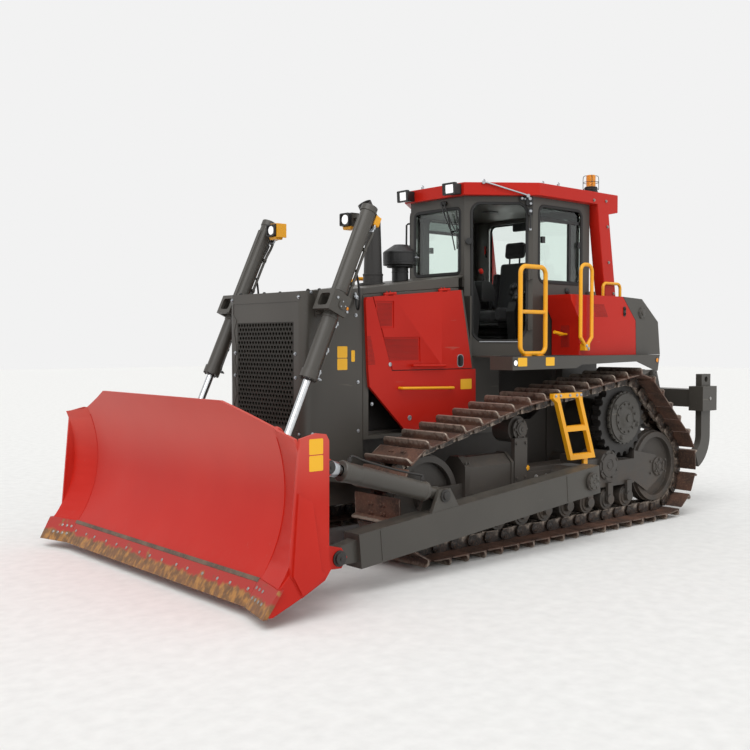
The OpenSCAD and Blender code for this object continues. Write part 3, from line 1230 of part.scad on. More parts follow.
// Places its children with Z along the ripper cylinder, from its barrel's pin to its rod's eye.
module along_ripper(s) {
    v = eye_pin - cyl_pin;
    translate([cyl_pin[0], s * ripper_cyl_y, cyl_pin[1]]) rotate([0, 90 - atan2(v[1], v[0]), 0]) children();
}
module ripper_barrels() {
    color(grey) for (s = [-1, 1]) difference() {
        along_ripper(s) {
            rotate([90, 0, 0]) cylinder(r = 52, h = 84, center = true);
            translate([0, 0, 30]) cylinder(r = 40, h = 80);
            translate([0, 0, 86]) cylinder(r = rip_barrel_r, h = rip_cyl_len * 0.54);
        }
        along_ripper(s) translate([0, 0, 110]) cylinder(r = rip_rod_r + seat_gap, h = 900);
        bar_y(cyl_pin[0], cyl_pin[1], bore_r, -600, 600);
    }
}
module ripper_rods() {
    color(steel) for (s = [-1, 1]) along_ripper(s) difference() {
        union() {
            translate([0, 0, 200]) cylinder(r = rip_rod_r, h = rip_cyl_len - 230);
            translate([0, 0, rip_cyl_len]) rotate([90, 0, 0]) cylinder(r = 60, h = 84, center = true);
        }
        translate([0, 0, rip_cyl_len]) rotate([90, 0, 0]) cylinder(r = 47, h = 90, center = true);
    }
}

main_frame();
engine_block();
radiator();
radiator_guard();
radiator_grille();
hood();
cowl();
side_panels();
exhaust_stack();
air_precleaner();
cab_shell();
cab_glass();
rops_frame();
operator_seat();
control_console();
fenders();
fuel_tank();
hydraulic_tank();
handrails();
access_ladders();
final_drives();
sprockets();
track_frames();
idlers();
track_rollers();
track(track_y);  // track_left
track(-track_y);  // track_right
work_lights();
beacon();
push_arms();
blade();
cutting_edge();
tilt_barrel_left();
tilt_barrel_right();
tilt_rod_left();
tilt_rod_right();
lift_barrel_left();
lift_barrel_right();
lift_rod_left();
lift_rod_right();
ripper_arms();
ripper_links();
ripper_beam();
ripper_shanks();
ripper_barrels();
ripper_rods();
engine_door_left();
engine_door_right();
cab_door();
cab_door_glass();
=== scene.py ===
"""Looks of a crawler tractor with a semi-U blade and a three-shank ripper.

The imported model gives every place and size. Each sub-assembly is a class that dresses its
nodes with real edges and finishes and adds the pieces that a drawing of the solids leaves out.
"""

import json
import logging
import math
from dataclasses import dataclass, field
from enum import Enum
from typing import Callable, Iterable, Sequence

import bmesh
import bpy
from mathutils import Matrix, Vector

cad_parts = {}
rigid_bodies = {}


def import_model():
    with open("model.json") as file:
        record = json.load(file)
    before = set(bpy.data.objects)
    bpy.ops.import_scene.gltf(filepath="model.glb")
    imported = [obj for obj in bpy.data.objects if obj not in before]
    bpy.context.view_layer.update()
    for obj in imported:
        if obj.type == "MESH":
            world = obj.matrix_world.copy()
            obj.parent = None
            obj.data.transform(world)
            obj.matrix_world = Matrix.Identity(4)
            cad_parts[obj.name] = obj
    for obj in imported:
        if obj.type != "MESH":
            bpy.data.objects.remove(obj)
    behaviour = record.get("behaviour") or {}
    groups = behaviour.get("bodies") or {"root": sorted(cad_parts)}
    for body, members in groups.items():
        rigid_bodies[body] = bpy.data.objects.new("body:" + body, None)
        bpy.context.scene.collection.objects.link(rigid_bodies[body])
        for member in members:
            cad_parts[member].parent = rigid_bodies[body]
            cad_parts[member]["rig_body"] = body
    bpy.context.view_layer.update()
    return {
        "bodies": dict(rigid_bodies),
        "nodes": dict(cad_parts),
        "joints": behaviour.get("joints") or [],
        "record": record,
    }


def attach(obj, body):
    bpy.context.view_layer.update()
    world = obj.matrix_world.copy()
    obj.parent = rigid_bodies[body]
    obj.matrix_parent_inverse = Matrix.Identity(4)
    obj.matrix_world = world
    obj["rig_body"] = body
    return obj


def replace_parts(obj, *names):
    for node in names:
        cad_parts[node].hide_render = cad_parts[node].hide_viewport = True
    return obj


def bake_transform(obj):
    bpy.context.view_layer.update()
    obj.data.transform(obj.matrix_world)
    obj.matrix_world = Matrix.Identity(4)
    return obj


LOG = logging.getLogger("crawler_tractor")
MM = 0.001
SIDES = ((1, "left"), (-1, "right"))
# edges that are sharper than these angles, in degrees, are creased and eased
CREASE = 35.0
CAD_CREASE = 40.0
# corners closer than this, in metres, are one corner, and a turned tip has at least this radius
WELD = 2e-5
TIP = 1e-5
# spacing of the staggered holes in the perforated fields, and their rows' share of it
HOLE_PITCH = 0.0125
ROW_SHARE = 0.866
Point = Sequence[float]


# ---------- nodes and colours ----------
def srgb(code: str) -> tuple[float, float, float, float]:
    """Turns an sRGB hex code into a linear colour.

    Args:
        code: six hex digits after a hash.

    Returns:
        Linear red, green, blue and an alpha of 1.
    """
    parts = [int(code[i : i + 2], 16) / 255 for i in (1, 3, 5)]
    line = [c / 12.92 if c <= 0.04045 else ((c + 0.055) / 1.055) ** 2.4 for c in parts]
    return (*line, 1.0)


class Net:
    """A shader or geometry node tree that is filled node by node."""

    def __init__(self, tree: bpy.types.NodeTree) -> None:
        """Keeps the tree to fill."""
        self.tree = tree

    def add(self, kind: str, links: dict | None = None, **settings: object) -> bpy.types.Node:
        """Adds a node with its settings and links.

        Args:
            kind: the node's type name.
            links: for each input, a value or the socket that feeds it.
            settings: the node's own properties.

        Returns:
            The new node.
        """
        node = self.tree.nodes.new(kind)
        for key, value in settings.items():
            setattr(node, key, value)
        for key, value in (links or {}).items():
            if isinstance(value, bpy.types.NodeSocket):
                self.tree.links.new(value, node.inputs[key])
            else:
                node.inputs[key].default_value = value
        return node

    def noise(self, place: bpy.types.NodeSocket, per_metre: float, detail: float = 3.0) -> bpy.types.NodeSocket:
        """Soft random field from 0 to 1 with that many waves to a metre."""
        return self.add("ShaderNodeTexNoise", {"Vector": place, "Scale": per_metre, "Detail": detail}).outputs[0]

    def ramp(self, value: bpy.types.NodeSocket, low: float, high: float, top: float = 1.0) -> bpy.types.NodeSocket:
        """Smooth step of a value from 0 at low to top at high."""
        return self.add("ShaderNodeMapRange", {0: value, 1: low, 2: high, 3: 0.0, 4: top},
                        interpolation_type="SMOOTHSTEP").outputs[0]

    def times(self, one: object, other: object) -> bpy.types.NodeSocket:
        """Product of two values."""
        return self.add("ShaderNodeMath", {0: one, 1: other}, operation="MULTIPLY").outputs[0]

    def blend(self, share: object, one: object, other: object) -> bpy.types.NodeSocket:
        """Mixes two colours by a share from 0 to 1."""
        return self.add("ShaderNodeMix", {0: share, 6: one, 7: other}, data_type="RGBA").outputs[2]


@dataclass(frozen=True)
class Finish:
    """What every finish has: a name for the real material, its colour and its gloss."""

    name: str
    colour: str
    roughness: float = 0.4

    def build(self) -> bpy.types.Material:
        """Makes the material once and hands the same one back after that."""
        found = bpy.data.materials.get(self.name)
        if found:
            return found
        material = bpy.data.materials.new(self.name)
        material.use_nodes = True
        net = Net(material.node_tree)
        net.tree.nodes.clear()
        shader = net.add("ShaderNodeBsdfPrincipled", {"Roughness": self.roughness})
        place = net.add("ShaderNodeTexCoord").outputs["Object"]
        self.dress(net, shader, place)
        net.add("ShaderNodeOutputMaterial", {"Surface": shader.outputs[0]})
        return material

    def dress(self, net: Net, shader: bpy.types.Node, place: bpy.types.NodeSocket) -> None:
        """Feeds the shader: the plain finish has its colour with faint cloudiness."""
        base = srgb(self.colour)
        dark = tuple(c * 0.82 for c in base[:3]) + (1.0,)
        net.tree.links.new(net.blend(net.noise(place, 9.0), base, dark), shader.inputs["Base Color"])

    def bump(self, net: Net, shader: bpy.types.Node, height: bpy.types.NodeSocket, depth: float) -> None:
        """Adds relief of that depth in metres to the shader's normal."""
        relief = net.add("ShaderNodeBump", {"Height": height, "Distance": depth, "Strength": 1.0})
        net.tree.links.new(relief.outputs[0], shader.inputs["Normal"])


@dataclass(frozen=True)
class Enamel(Finish):
    """Two-pack enamel sprayed on steel plate: an even satin film with fine orange peel, a veil of
    dust on what faces up, hairline scratches and dirt that thickens towards the ground."""

    faded: str = "#c0392b"
    dust: float = 0.22
    dust_colour: str = "#8f8577"
    scratch: float = 0.25
    mud: float = 0.0
    mud_top: float = 0.9
    specular: float = 0.5
    # painted sheen: a paler colour towards the top that stands in for a reflection
    painted_sheen: float = 0.0
    sheen_colour: str = "#dc7468"
    sheen_from: float = 0.75
    sheen_span: float = 0.55

    def dress(self, net: Net, shader: bpy.types.Node, place: bpy.types.NodeSocket) -> None:
        """Feeds the shader with the film, its fading, a painted sheen on the upper part where one is set, scratches,
        dust and dirt.
        """
        cloud = net.ramp(net.noise(place, 1.3, 4.0), 0.35, 0.7)
        colour = net.blend(net.times(cloud, 0.55), srgb(self.colour), srgb(self.faded))
        shader.inputs["Specular IOR Level"].default_value = self.specular
        if self.painted_sheen:
            # painted sheen: the upper part is drawn paler, standing in for the reflection of the bright room on it
            above = net.add("ShaderNodeSeparateXYZ", {0: place}).outputs["Z"]
            film = net.ramp(above, self.sheen_from, self.sheen_from + self.sheen_span, self.painted_sheen)
            colour = net.blend(film, colour, srgb(self.sheen_colour))
        # hairline scratches: noise drawn out forty times along a slanting line
        slant = net.add("ShaderNodeMapping", {"Vector": place, "Rotation": (0.5, 0.7, 0.4), "Scale": (1.0, 40.0, 9.0)})
        lines = net.ramp(net.noise(slant.outputs[0], 3.2, 2.0), 0.705, 0.735)
        patch = net.ramp(net.noise(place, 2.1, 2.0), 0.5, 0.62)
        scratch = net.times(net.times(lines, patch), self.scratch)
        colour = net.blend(scratch, colour, srgb(self.dust_colour))
        normal = net.add("ShaderNodeNewGeometry").outputs["Normal"]
        up = net.add("ShaderNodeSeparateXYZ", {0: normal}).outputs["Z"]
        specks = net.ramp(net.noise(place, 16.0, 6.0), 0.35, 0.75)
        dust = net.times(net.times(net.ramp(up, 0.35, 0.95), specks), self.dust)
        height = net.add("ShaderNodeSeparateXYZ", {0: place}).outputs["Z"]
        fall, clumps = net.ramp(height, self.mud_top, 0.1), net.ramp(net.noise(place, 7.0, 8.0), 0.4, 0.62)
        low = net.times(fall, net.times(clumps, self.mud))
        veil = net.add("ShaderNodeMath", {0: dust, 1: low}, operation="MAXIMUM").outputs[0]
        colour = net.blend(veil, colour, srgb(self.dust_colour))
        net.tree.links.new(colour, shader.inputs["Base Color"])
        rough = net.add("ShaderNodeMath", {0: net.times(veil, 0.5), 1: self.roughness}, operation="ADD").outputs[0]
        rough = net.add("ShaderNodeMath", {0: net.times(net.noise(place, 3.0, 5.0), 0.12), 1: rough},
                        operation="ADD").outputs[0]
        net.tree.links.new(rough, shader.inputs["Roughness"])
        # orange peel is about 1 mm across; drawn at 9 mm so that it shows
        self.bump(net, shader, net.noise(place, 110.0, 2.0), 0.00012)


@dataclass(frozen=True)
class RustSteel(Finish):
    """Hot-rolled or forged steel with its paint worn off: brown rust in patches over darker scale,
    polished to bare grey where the wear attribute of the mesh is high."""

    scale: str = "#3b2b24"
    speck: str = "#8a6a52"
    bare: str = "#a3968a"
    worn: bool = False

    def dress(self, net: Net, shader: bpy.types.Node, place: bpy.types.NodeSocket) -> None:
        """Feeds the shader with rust, scale and the bare edges."""
        patch = net.ramp(net.noise(place, 5.5, 9.0), 0.36, 0.66)
        colour = net.blend(patch, srgb(self.scale), srgb(self.colour))
        grain = net.noise(place, 60.0, 6.0)
        colour = net.blend(net.times(net.ramp(grain, 0.45, 0.8), 0.45), colour, srgb(self.speck))
        if self.worn:
            wear = net.add("ShaderNodeAttribute", attribute_name="wear").outputs["Fac"]
            broken = net.add("ShaderNodeMath", {0: wear, 1: net.times(net.noise(place, 24.0, 5.0), 0.8)},
                             operation="MULTIPLY")
            share = net.ramp(broken.outputs[0], 0.16, 0.42)
            colour = net.blend(share, colour, srgb(self.bare))
            net.tree.links.new(net.times(share, 0.75), shader.inputs["Metallic"])
        net.tree.links.new(colour, shader.inputs["Base Color"])
        self.bump(net, shader, grain, 0.0012)


@dataclass(frozen=True)
class EdgePaint(RustSteel):
    """Hardened cutting edge: shop paint that is worn off in streaks to golden rust towards the tip."""

    paint: str = "#a4261d"
    streak: str = "#a8763a"
    paint_low: float = 0.160

    def dress(self, net: Net, shader: bpy.types.Node, place: bpy.types.NodeSocket) -> None:
        """Feeds the shader with rust and the paint left over it."""
        RustSteel.dress(self, net, shader, place)
        rust = shader.inputs["Base Color"].links[0].from_socket
        streaks = net.add("ShaderNodeMapping", {"Vector": place, "Scale": (22.0, 22.0, 3.0)}).outputs[0]
        rust = net.blend(net.ramp(net.noise(streaks, 1.0, 4.0), 0.42, 0.7), rust, srgb(self.streak))
        height = net.add("ShaderNodeSeparateXYZ", {0: place}).outputs["Z"]
        ragged = net.add("ShaderNodeMath", {0: net.times(net.noise(streaks, 0.6, 5.0), 0.09), 1: height},
                         operation="ADD").outputs[0]
        left = net.times(net.ramp(ragged, self.paint_low + 0.03, self.paint_low + 0.06),
                         net.ramp(net.noise(place, 9.0, 6.0), 0.72, 0.6))
        net.tree.links.new(net.blend(left, rust, srgb(self.paint)), shader.inputs["Base Color"])


@dataclass(frozen=True)
class Chromed(Finish):
    """Hard chrome ground and polished on a piston rod: a mirror with faint wiper streaks."""

    wiped: str = "#a9abad"

    def dress(self, net: Net, shader: bpy.types.Node, place: bpy.types.NodeSocket) -> None:
        """Feeds the shader with bright metal."""
        shader.inputs["Metallic"].default_value = 1.0
        streak = net.noise(place, 30.0, 3.0)
        net.tree.links.new(net.blend(streak, srgb(self.colour), srgb(self.wiped)), shader.inputs["Base Color"])


@dataclass(frozen=True)
class Moulded(Finish):
    """Moulded rubber or plastic: a dull dark skin with a fine grain that scatters the light."""

    grain: float = 0.0003

    def dress(self, net: Net, shader: bpy.types.Node, place: bpy.types.NodeSocket) -> None:
        """Feeds the shader with the skin and its grain."""
        Finish.dress(self, net, shader, place)
        # moulded grain is about 0.5 mm; drawn at 4 mm so that it shows
        self.bump(net, shader, net.noise(place, 250.0, 3.0), self.grain)


@dataclass(frozen=True)
class SafetyGlass(Finish):
    """Tinted toughened glass, float-made: clear with a cool green cast and sharp reflections."""

    def dress(self, net: Net, shader: bpy.types.Node, place: bpy.types.NodeSocket) -> None:
        """Feeds the shader with clear tinted glass."""
        shader.inputs["Transmission Weight"].default_value = 1.0
        shader.inputs["IOR"].default_value = 1.45
        dust = net.ramp(net.noise(place, 4.0, 5.0), 0.5, 0.8, 0.05)
        net.tree.links.new(net.blend(net.times(net.noise(place, 2.0), 0.2), srgb(self.colour), srgb("#ffffff")),
                           shader.inputs["Base Color"])
        net.tree.links.new(dust, shader.inputs["Roughness"])


@dataclass(frozen=True)
class Weave(Finish):
    """Woven polyester seat cover: crossed threads, drawn at 3 mm so that they show, with soft sheen."""

    def dress(self, net: Net, shader: bpy.types.Node, place: bpy.types.NodeSocket) -> None:
        """Feeds the shader with two crossed sets of threads."""
        base = srgb(self.colour)
        worn = tuple(min(1.0, c * 1.9 + 0.004) for c in base[:3]) + (1.0,)
        warp = net.add("ShaderNodeTexWave", {"Vector": place, "Scale": 52.0, "Distortion": 0.6},
                       bands_direction="Y").outputs[0]
        weft = net.add("ShaderNodeTexWave", {"Vector": place, "Scale": 52.0, "Distortion": 0.6},
                       bands_direction="DIAGONAL").outputs[0]
        cloth = net.times(warp, weft)
        colour = net.blend(net.times(net.noise(place, 6.0, 5.0), 0.5), base, worn)
        net.tree.links.new(net.blend(net.times(cloth, 0.4), colour, worn), shader.inputs["Base Color"])
        shader.inputs["Sheen Weight"].default_value = 0.25
        self.bump(net, shader, cloth, 0.0004)


@dataclass(frozen=True)
class Lens(Finish):
    """Moulded clear lens with its reflector behind: bright and ribbed, with a painted glow that stands for light thrown
    back by the reflector.
    """

    painted_glow: float = 0.35

    def dress(self, net: Net, shader: bpy.types.Node, place: bpy.types.NodeSocket) -> None:
        """Feeds the shader with the pale lens and its ribs."""
        Finish.dress(self, net, shader, place)
        # painted glow: the emission stands for light thrown back by the reflector, not for a lit lamp
        shader.inputs["Emission Color"].default_value = srgb(self.colour)
        shader.inputs["Emission Strength"].default_value = self.painted_glow
        cells = net.add("ShaderNodeTexVoronoi", {"Vector": place, "Scale": 60.0}).outputs[0]
        self.bump(net, shader, cells, 0.004)


RED = Enamel("red_enamel_on_plate", "#b81e11", 0.3, faded="#c2281b", dust=0.1, specular=0.22)
# the blade's paler upper part is a painted sheen
BLADE_RED = Enamel("chalky_red_enamel_on_blade", "#b81e11", 0.34, faded="#c2281b", dust=0.1, specular=0.24, painted_sheen=0.40)
GREY = Enamel("charcoal_enamel_on_plate", "#403d38", 0.36, faded="#4a4741", dust=0.16, scratch=0.2)
GREY_LOW = Enamel("charcoal_enamel_undercarriage", "#3d3935", 0.42, faded="#48423c", dust=0.25, mud=0.3, mud_top=0.8,
                  dust_colour="#6b594a")
YELLOW = Enamel("yellow_enamel_on_tube", "#f0a911", 0.32, faded="#e59f12", dust=0.12, dust_colour="#8a7440")
TRACK = RustSteel("rusted_track_shoe_steel", "#5a3f33", 0.62, worn=True)
EDGE = EdgePaint("worn_cutting_edge_steel", "#7a5230", 0.5, scale="#624325")
SCREEN = Enamel("charcoal_enamel_on_screen", "#26241f", 0.5, faded="#2f2c28", dust=0.1, specular=0.3)
# the links' dark colour is partly their grease and partly painted shade for the shadow under the rollers
LINK = RustSteel("greasy_track_link_forging", "#2b211c", 0.5, scale="#171310", worn=True)
CHROME = Chromed("hard_chrome_rod", "#d5d7d9", 0.12)
RUBBER = Moulded("black_rubber", "#171717", 0.62)
PLASTIC = Moulded("black_moulded_plastic", "#1d1d1d", 0.45)
CAST = Moulded("dark_cast_iron", "#2b2927", 0.5, grain=0.0006)
GLASS = SafetyGlass("tinted_safety_glass", "#eef8f3", 0.0)
SMOKED = SafetyGlass("smoked_safety_glass", "#57625e", 0.0)
FABRIC = Weave("woven_polyester_seat_cover", "#1c1c1d", 0.85)
VINYL = Moulded("black_vinyl_armrest", "#191919", 0.5)
AMBER = Lens("amber_polycarbonate", "#e08a12", 0.15, painted_glow=0.1)
LAMP = Lens("clear_lamp_lens", "#f2f2f2", 0.1, painted_glow=0.5)
WORN = Chromed("worn_steel_bolt_head", "#8f877c", 0.4)
STEEL = Chromed("zinc_plated_steel", "#b7bcc2", 0.32)
CRUST = RustSteel("scaled_mild_steel_lip", "#6a5a4c", 0.7, scale="#4a3e36")
# dark filling of gaps and holes: painted shade where a gap or hole lies in shadow, and the real soot inside the stack
SHADE_AND_SOOT = Moulded("soot_in_a_gap", "#120f0e", 0.9)
SIGN = Enamel("yellow_vinyl_plate", "#f4b81b", 0.3, faded="#f0b21c", dust=0.05, scratch=0.05)


# ---------- building ----------
def ready(obj: bpy.types.Object, body: str, finish: Finish | None = None) -> bpy.types.Object:
    """Gives a piece its finish and lets it ride on its body.

    Args:
        obj: the piece, in place.
        body: the body it moves with.
        finish: its finish, or None where the mesh has its own.

    Returns:
        The piece.
    """
    if finish:
        obj.data.materials.clear()
        obj.data.materials.append(finish.build())
    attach(obj, body)
    LOG.info("%s rides on %s, %d faces", obj.name, body, len(obj.data.polygons))
    return obj


def mesh_object(name: str, bm: bmesh.types.BMesh, sharp: float = CREASE) -> bpy.types.Object:
    """Turns a bmesh into an object whose edges under the sharp angle are smooth."""
    mesh = bpy.data.meshes.new(name)
    bm.to_mesh(mesh)
    bm.free()
    mesh.shade_smooth()
    mesh.set_sharp_from_angle(angle=math.radians(sharp))
    obj = bpy.data.objects.new(name, mesh)
    bpy.context.scene.collection.objects.link(obj)
    return obj


def baked(obj: bpy.types.Object) -> bpy.types.Object:
    """Turns an object with modifiers into a plain mesh."""
    graph = bpy.context.evaluated_depsgraph_get()
    mesh = bpy.data.meshes.new_from_object(obj.evaluated_get(graph))
    obj.modifiers.clear()
    old = obj.data
    obj.data = mesh
    mesh.name = obj.name
    bpy.data.meshes.remove(old)
    return obj


def ease_edges(obj: bpy.types.Object, width: float, sharp: float, segments: int = 2) -> None:
    """Eases the edges over the sharp angle by a width in millimetres."""
    bevel = obj.modifiers.new("ease", "BEVEL")
    bevel.width = width * MM
    bevel.segments = segments
    bevel.limit_method = "ANGLE"
    bevel.angle_limit = math.radians(sharp)
    bevel.harden_normals = True
    bevel.use_clamp_overlap = True
    baked(obj)


@dataclass
class Shell:
    """The skin of a CAD node with its edges eased as a press, a flame cutter or a mould leaves them."""

    node: str
    finish: Finish
    ease: float = 3.0
    segments: int = 2

    def build(self, frame: dict) -> bpy.types.Object:
        """Makes the skin, in place of the CAD node.


        Returns:
            The new piece, riding on the node's body.
        """
        source = frame["nodes"][self.node]
        body = source["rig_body"]
        bm = bmesh.new()
        bm.from_mesh(source.data)
        bmesh.ops.remove_doubles(bm, verts=bm.verts, dist=WELD)
        bmesh.ops.dissolve_limit(bm, angle_limit=math.radians(0.4), verts=bm.verts, edges=bm.edges)
        obj = mesh_object("skin_" + self.node, bm, CAD_CREASE)
        if self.ease:
            ease_edges(obj, self.ease, CAD_CREASE, self.segments)
        ready(obj, body, self.finish)
        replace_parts(obj, self.node)
        return obj


class Dress(Enum):
    """How each CAD node is finished: its finish and how far its edges are eased, in millimetres."""

    MAIN_FRAME = ("main_frame", GREY_LOW, 5.0)
    ENGINE = ("engine_block", CAST, 12.0)
    RADIATOR = ("radiator", PLASTIC, 4.0)
    GUARD = ("radiator_guard", GREY, 6.0)
    GRILLE = ("radiator_grille", GREY, 1.5, 1)
    HOOD = ("hood", GREY, 8.0)
    COWL = ("cowl", GREY, 4.0)
    PANELS = ("side_panels", RED, 5.0)
    STACK = ("exhaust_stack", CAST, 2.0)
    PRECLEANER = ("air_precleaner", PLASTIC, 6.0)
    CAB = ("cab_shell", GREY, 10.0)
    CAB_GLASS = ("cab_glass", GLASS, 0.0)
    ROPS = ("rops_frame", RED, 8.0)
    CONSOLE = ("control_console", PLASTIC, 12.0)
    FENDERS = ("fenders", GREY, 4.0)
    FUEL = ("fuel_tank", RED, 10.0)
    OIL = ("hydraulic_tank", RED, 10.0)
    RAILS = ("handrails", YELLOW, 2.0)
    LADDERS = ("access_ladders", YELLOW, 3.0)
    FINAL = ("final_drives", GREY, 5.0)
    SPROCKETS = ("sprockets", CAST, 3.0)
    FRAMES = ("track_frames", GREY_LOW, 4.0)
    IDLERS = ("idlers", GREY_LOW, 6.0)
    ROLLERS = ("track_rollers", GREY_LOW, 6.0)
    LIGHTS = ("work_lights", PLASTIC, 6.0)
    BEACON = ("beacon", AMBER, 6.0)
    ARMS = ("push_arms", GREY, 8.0)
    BLADE = ("blade", BLADE_RED, 3.0)
    EDGE = ("cutting_edge", EDGE, 3.0)
    TILT_BARREL_L = ("tilt_barrel_left", GREY, 4.0)
    TILT_BARREL_R = ("tilt_barrel_right", GREY, 4.0)
    TILT_ROD_L = ("tilt_rod_left", CHROME, 3.0)
    TILT_ROD_R = ("tilt_rod_right", CHROME, 3.0)
    LIFT_BARREL_L = ("lift_barrel_left", GREY, 4.0)
    LIFT_BARREL_R = ("lift_barrel_right", GREY, 4.0)
    LIFT_ROD_L = ("lift_rod_left", CHROME, 3.0)
    LIFT_ROD_R = ("lift_rod_right", CHROME, 3.0)
    RIPPER_ARMS = ("ripper_arms", GREY, 5.0)
    RIPPER_LINKS = ("ripper_links", GREY, 5.0)
    RIPPER_BEAM = ("ripper_beam", GREY, 6.0)
    SHANKS = ("ripper_shanks", GREY, 5.0)
    RIPPER_BARRELS = ("ripper_barrels", GREY, 4.0)
    RIPPER_RODS = ("ripper_rods", CHROME, 3.0)
    DOOR_LEFT = ("engine_door_left", RED, 5.0)
    DOOR_RIGHT = ("engine_door_right", RED, 5.0)
    CAB_DOOR = ("cab_door", GREY, 6.0)
    CAB_DOOR_GLASS = ("cab_door_glass", GLASS, 0.0)


# ---------- raw stock ----------
def aim(place: Point, axis: Point = (0.0, 0.0, 1.0), side: Point | None = None) -> Matrix:
    """Frame at a place whose Z runs along an axis.

    Args:
        place: the origin, in metres.
        axis: where Z points.
        side: a direction that X leans to, or None for any.

    Returns:
        The frame as a matrix.
    """
    z = Vector(axis).normalized()
    lean = Vector(side) if side is not None else (Vector((1, 0, 0)) if abs(z.x) < 0.9 else Vector((0, 1, 0)))
    x = (lean - z * lean.dot(z)).normalized()
    y = z.cross(x)
    matrix = Matrix((x, y, z)).transposed().to_4x4()
    matrix.translation = Vector(place)
    return matrix


def along_x(x: float, y: float, z: float) -> Matrix:
    """Frame whose Z runs along X."""
    return aim((x, y, z), (1, 0, 0))


def along_y(x: float, y: float, z: float, s: int = 1) -> Matrix:
    """Frame whose Z runs along Y, or the same place on the right looking outward where s is -1."""
    return aim((x, s * y, z), (0, s, 0))


def side_view(x: float, y: float, z: float) -> Matrix:
    """Frame for an outline drawn in X and Z that runs along Y."""
    return along_y(x, y, z) @ Matrix.Diagonal((1, -1, 1, 1))


def circle(x: float, z: float, r: float, count: int, first: float = 0.0) -> list[tuple[float, float]]:
    """Flat places round a centre, the first of them at that angle in degrees."""
    turns = [math.radians(first + 360 / count * k) for k in range(count)]
    return [(x + r * math.cos(a), z + r * math.sin(a)) for a in turns]


def smooth_path(points: Sequence[Point], steps: int = 6) -> list[Vector]:
    """Runs a soft line through the points (Catmull and Rom's)."""
    pts = [Vector(p) for p in points]
    if len(pts) < 3:
        return pts
    ends = [pts[0] * 2 - pts[1], *pts, pts[-1] * 2 - pts[-2]]
    out = []
    for a, b, c, d in zip(ends, ends[1:], ends[2:], ends[3:]):
        for i in range(steps):
            t = i / steps
            bend, twist = 2 * a - 5 * b + 4 * c - d, 3 * b - a - 3 * c + d
            out.append(0.5 * (2 * b + (c - a) * t + bend * t**2 + twist * t**3))
    return [*out, pts[-1]]


